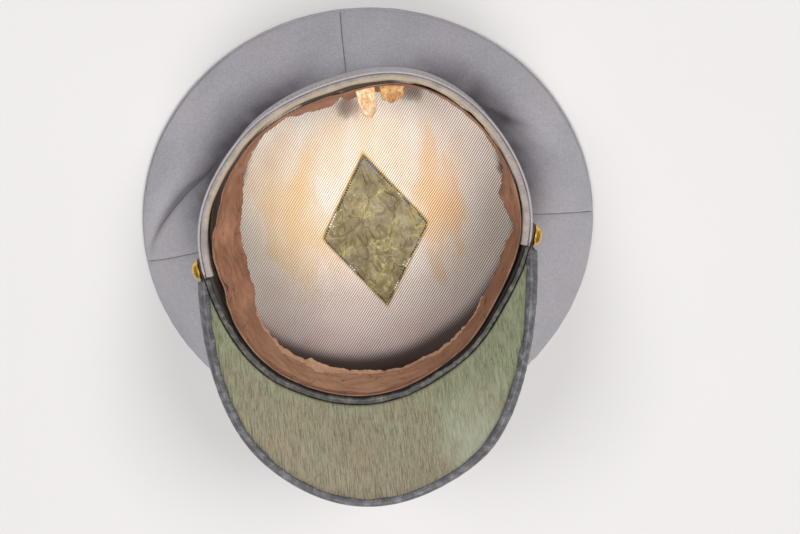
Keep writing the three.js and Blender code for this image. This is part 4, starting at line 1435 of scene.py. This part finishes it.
def peak_binding():
    angle = peak_angles(300)[:, None]
    inwards, depth = binding_section().T[:, None, :]
    inwards = inwards * np.where(inwards > 0, lip_growth(angle), 1)
    edge = in_peak(angle, peak_reach(angle), 0 * angle)
    swell = 0.12 * wander(edge, 6, 111) + 0.08 * wander(edge, 2.5, 112)
    inwards = inwards + (0.35 * wander(edge, 14, 113)) * (inwards > 2)
    on_a_face = np.abs(depth - peak_depth / 2) > peak_depth / 2 + 0.4
    depth = depth + swell * np.where(depth < 0, -1, 1) * on_a_face
    angle, inwards, depth = np.broadcast_arrays(angle, inwards, depth)
    return tube_piece("peak_binding_leather", beside_peak_edge(angle, inwards, depth), black_hide)


place(peak_binding(), "peak_binding", "black_leather")

# %% [markdown]
# The chin strap lies round the front under the peak, held by a gilt button at each end. The strap is a
# flat leather sheet with rounded tips, and the button is a turned dome with a rolled edge on a shank.

# %% Chin strap and buttons
strap_top = -(peak_thick + facing_thick + clearance) / math.cos(slope) - strap_gap
strap_middle = strap_top - strap_width / 2
strap_in = clearance
strap_out = strap_in + strap_thick
strap_start = front_angle + button_angles["button_left"]
strap_stop = front_angle + button_angles["button_right"]
button_bead = 0.45


def chin_strap():
    past = math.degrees(strap_end / (rim_short / 2))
    start, end = strap_start - past, strap_stop + past
    long_way = math.radians(end - start) * rim_around / (2 * math.pi)
    share = steps_with_edges(long_way, 1.8, 0.7)[None]
    angle = start + (end - start) * share
    to_tip = np.minimum(share, 1 - share) * long_way
    tip = np.sqrt(np.clip(1 - (1 - np.clip(to_tip / (strap_width / 2), 0, 1)) ** 2, 0.02, 1))
    across = 2 * steps_with_edges(strap_width, 1.0, 0.7)[:, None] - 1
    height = strap_middle + across * strap_width / 2 * tip
    out = (strap_in + strap_out) / 2 + 0.12 * wander(by_rim(angle, 0, 0), 25, 121)
    middle = by_rim(angle, out + 0 * height, height)
    half = strap_thick / 2 * near_edge((1 - np.abs(across)) * strap_width / 2, 0.7) * near_edge(to_tip, 0.7)
    return sheet_piece("chin_strap_leather", middle, half, strap_hide)


def button(name, from_front):
    half, bead = button_width / 2, button_bead
    shank_length = strap_out + clearance - band_in + clearance
    profile = [(0, -shank_length), (shank_width / 2, -shank_length), (shank_width / 2, 0), (half - 0.6, 0)]
    profile += [(half - bead + bead * math.cos(t), bead + bead * math.sin(t))
                for t in np.radians(np.linspace(-90, 90, 7))]
    profile += [((half - 2 * bead) * math.cos(t), button_rim + button_dome * math.sin(t))
                for t in np.radians(np.linspace(0, 90, 12))[1:]]
    radius, height = np.array(profile).T[..., None, None]
    angle = front_angle + from_front
    axis = along_rim_axes(*rim_outwards(angle), 0)
    turn = np.radians(np.arange(48) * 7.5)[None, :, None]
    spoke = rim_w * np.cos(turn) + np.cross(axis, rim_w) * np.sin(turn)
    base = by_rim(angle, strap_out + clearance, strap_middle)
    piece = tube_piece(name + "_dome", base + axis * height + radius * spoke, button_gilt)
    merge_pole(piece)
    return piece


place(chin_strap(), "chin_strap", "strap_leather", "stretched", "outer_band_cloth")
for name, from_front in button_angles.items():
    place(button(name, from_front), name, "gilt")

# %% [markdown]
# Stitches are the one thing here that repeats hundreds of times, so a Geometry Nodes tree makes them. It
# turns a path into a curve, sets a point at every pitch, and puts a small rounded thread on each, laid
# along the path. A seeded random turn and size keep the row from looking machined. Realize Instances and
# Set Material end the tree.

# %% The tree that sews
def stitch_tree():
    tree = bpy.data.node_groups.new("stitches along a path", "GeometryNodeTree")
    kinds = {"Path": "Geometry", "Pitch": "Float", "Length": "Float", "Thickness": "Float", "Seed": "Int",
             "Material": "Material"}
    sockets = {}
    for name, kind in kinds.items():
        socket = tree.interface.new_socket(name, in_out="INPUT", socket_type="NodeSocket" + kind)
        sockets[name] = socket.identifier
    tree.interface.new_socket("Stitches", in_out="OUTPUT", socket_type="NodeSocketGeometry")
    given = tree.nodes.new("NodeGroupInput").outputs
    end = tree.nodes.new("NodeGroupOutput")

    def step(kind, settings=None, **inputs):
        made = tree.nodes.new(kind)
        for key, value in (settings or {}).items():
            setattr(made, key, value)
        for key, value in inputs.items():
            socket = made.inputs[key.replace("_", " ")]
            if isinstance(value, bpy.types.NodeSocket):
                tree.links.new(value, socket)
            else:
                socket.default_value = value
        return made.outputs[0]

    def chance(low, high):
        return step("FunctionNodeRandomValue", {"data_type": "FLOAT_VECTOR"}, Min=low, Max=high,
                    Seed=given["Seed"])

    curve = step("GeometryNodeMeshToCurve", Mesh=given["Path"])
    spaced = step("GeometryNodeResampleCurve", {"mode": "LENGTH"}, Curve=curve, Length=given["Pitch"])
    bead = step("GeometryNodeMeshUVSphere", Segments=8, Rings=5, Radius=0.5)
    shape = step("ShaderNodeCombineXYZ", X=given["Length"], Y=given["Thickness"], Z=given["Thickness"])
    thread = step("GeometryNodeTransform", Geometry=bead, Scale=shape)
    tangent = step("GeometryNodeInputTangent")
    lie = step("FunctionNodeAlignRotationToVector", {"axis": "X"}, Vector=tangent)
    wobble = step("FunctionNodeEulerToRotation", Euler=chance((-0.06, -0.16, -0.16), (0.06, 0.16, 0.16)))
    askew = step("FunctionNodeRotateRotation", {"rotation_space": "LOCAL"}, Rotation=lie, Rotate_By=wobble)
    size = chance((0.85, 0.85, 0.85), (1.1, 1.1, 1.1))
    laid = step("GeometryNodeInstanceOnPoints", Points=spaced, Instance=thread, Rotation=askew, Scale=size)
    real = step("GeometryNodeRealizeInstances", Geometry=laid)
    smooth = step("GeometryNodeSetShadeSmooth", Geometry=real)
    row = step("GeometryNodeSetMaterial", Geometry=smooth, Material=given["Material"])
    tree.links.new(row, end.inputs[0])
    return tree, sockets


stitches, stitch_sockets = stitch_tree()
print(len(stitches.nodes), "nodes make a row of stitches")

# %% [markdown]
# A row gives the tree its path and its sizes, through the identifiers of the tree's inputs. The evaluated
# result becomes a plain mesh, and the object that held the modifier is removed.

# %% One row of stitches
def stitch_row(name, path, pitch, length, thickness, thread, seed, closed=False):
    """A row of stitches along points in millimetres, as a plain mesh."""
    count = len(path)
    edges = [(i, i + 1) for i in range(count - 1)] + ([(count - 1, 0)] if closed else [])
    mesh = bpy.data.meshes.new(name + "_path")
    mesh.from_pydata((np.asarray(path) * MM).tolist(), edges, [])
    holder = new_object(name + "_path", mesh)
    modifier = holder.modifiers.new("stitches", "NODES")
    modifier.node_group = stitches
    given = {"Pitch": pitch * MM, "Length": length * MM, "Thickness": thickness * MM, "Seed": seed,
             "Material": thread}
    for key, value in given.items():
        modifier[stitch_sockets[key]] = value
    bpy.context.view_layer.update()
    result = holder.evaluated_get(bpy.context.evaluated_depsgraph_get())
    row = bpy.data.meshes.new_from_object(result)
    bpy.data.objects.remove(holder)
    piece = new_object(name, row)
    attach(piece, "root")
    print(name, len(row.polygons), "faces")


# %% [markdown]
# Seven rows are sewn: one round the outer band, two through the binding, two round the shield in its
# bright thread, and two along the strap. Each lies just proud of its piece.

# %% Rows of stitches
proud = 0.02
band_row = by_rim(np.linspace(0, 360, 720, endpoint=False), proud, -outer_band_setback - 3.2)
stitch_row("outer_band_stitches", band_row, 3.1, 2.1, 0.42, grey_thread, 1, closed=True)

edge_angles = peak_angles(420)[6:-6]
lip_inset = binding_lip * lip_growth(edge_angles) - 0.8
over = -clearance - binding_thick - proud
under = peak_depth + clearance + binding_thick + proud
for name, depth, seed in (("binding_stitches", over, 2), ("binding_stitches_below", under, 3)):
    lip_row = beside_peak_edge(edge_angles, lip_inset, np.full_like(edge_angles, depth))
    stitch_row(name, lip_row, 2.5, 1.6, 0.42, black_thread, seed)


def shield_loop(inset, lift):
    reach = 1 - 2 * inset / shield_side
    sweep = np.linspace(-reach, reach, 90, endpoint=False)
    full = np.full_like(sweep, reach)
    u = np.concatenate([sweep, full, -sweep, -full])
    v = np.concatenate([full, -sweep, -full, sweep])
    return on_shield(u, v, lift)


stitch_row("shield_stitches_outer", shield_loop(0.8, 1.1), 1.7, 1.35, 1.2, lurex, 5, True)
stitch_row("shield_stitches_inner", shield_loop(2.9, 0.95), 1.9, 1.3, 0.6, lurex, 6, True)

strap_angles = np.linspace(strap_start + 5, strap_stop - 5, 400)
for word, side in (("upper", 1), ("lower", -1)):
    strap_row = by_rim(strap_angles, strap_out + proud, strap_middle + side * (strap_width / 2 - 1.5))
    stitch_row("strap_stitches_" + word, strap_row, 2.6, 1.7, 0.36, brown_thread, 7 + side)

# %% [markdown]
# Studio: a plain pale floor, and soft light like that of the photograph. One large lamp stands in front of
# the cap, and two stand behind it, left and right. A weak pale world fills the shadows.

# %% Floor and light
def floor_paint():
    cloth = Recipe("pale floor", Specular_IOR_Level=0.2)
    cloth.start(cloth.noise(0.004, 2), (212, 210, 209), (216, 214, 213))
    return cloth.finish(0.9)


floor_half = 3.0
floor_mesh = bpy.data.meshes.new("floor")
floor_corners = [(x * floor_half, y * floor_half, 0) for x, y in ((-1, -1), (1, -1), (1, 1), (-1, 1))]
floor_mesh.from_pydata(floor_corners, [], [(0, 1, 2, 3)])
floor_mesh.materials.append(floor_paint())
new_object("floor", floor_mesh)

lamp_size = 0.9
lamp_distance = 2
lamp_aim = Vector((0, 0, 0.05))


def lamp(name, turn, height, power, colour):
    """A soft lamp two metres from the cap. turn and height are in degrees, turn as around the cap."""
    light = bpy.data.lights.new(name, "AREA")
    light.shape = "SQUARE"
    light.size = lamp_size
    light.energy = power
    light.color = colour
    turn, height = math.radians(turn), math.radians(height)
    level = math.cos(height)
    away = Vector((level * math.cos(turn), level * math.sin(turn), math.sin(height)))
    holder = new_object(name, light)
    holder.location = away * lamp_distance + lamp_aim
    holder.rotation_mode = "QUATERNION"
    holder.rotation_quaternion = away.to_track_quat("Z", "Y")


lamp("lamp in front", -90, 56, 23, (1.0, 0.99, 0.98))
lamp("lamp behind left", 150, 58, 18, (0.98, 0.98, 1.0))
lamp("lamp behind right", 30, 58, 21, (1.0, 0.99, 0.98))

world = bpy.data.worlds.new("studio")
world.use_nodes = True
backdrop = world.node_tree.nodes["Background"]
backdrop.inputs["Color"].default_value = (0.97, 0.98, 1.0, 1)
backdrop.inputs["Strength"].default_value = 0.12
bpy.context.scene.world = world
bpy.context.scene.view_settings.view_transform = "Standard"
print(len(bpy.data.lights), "lamps")
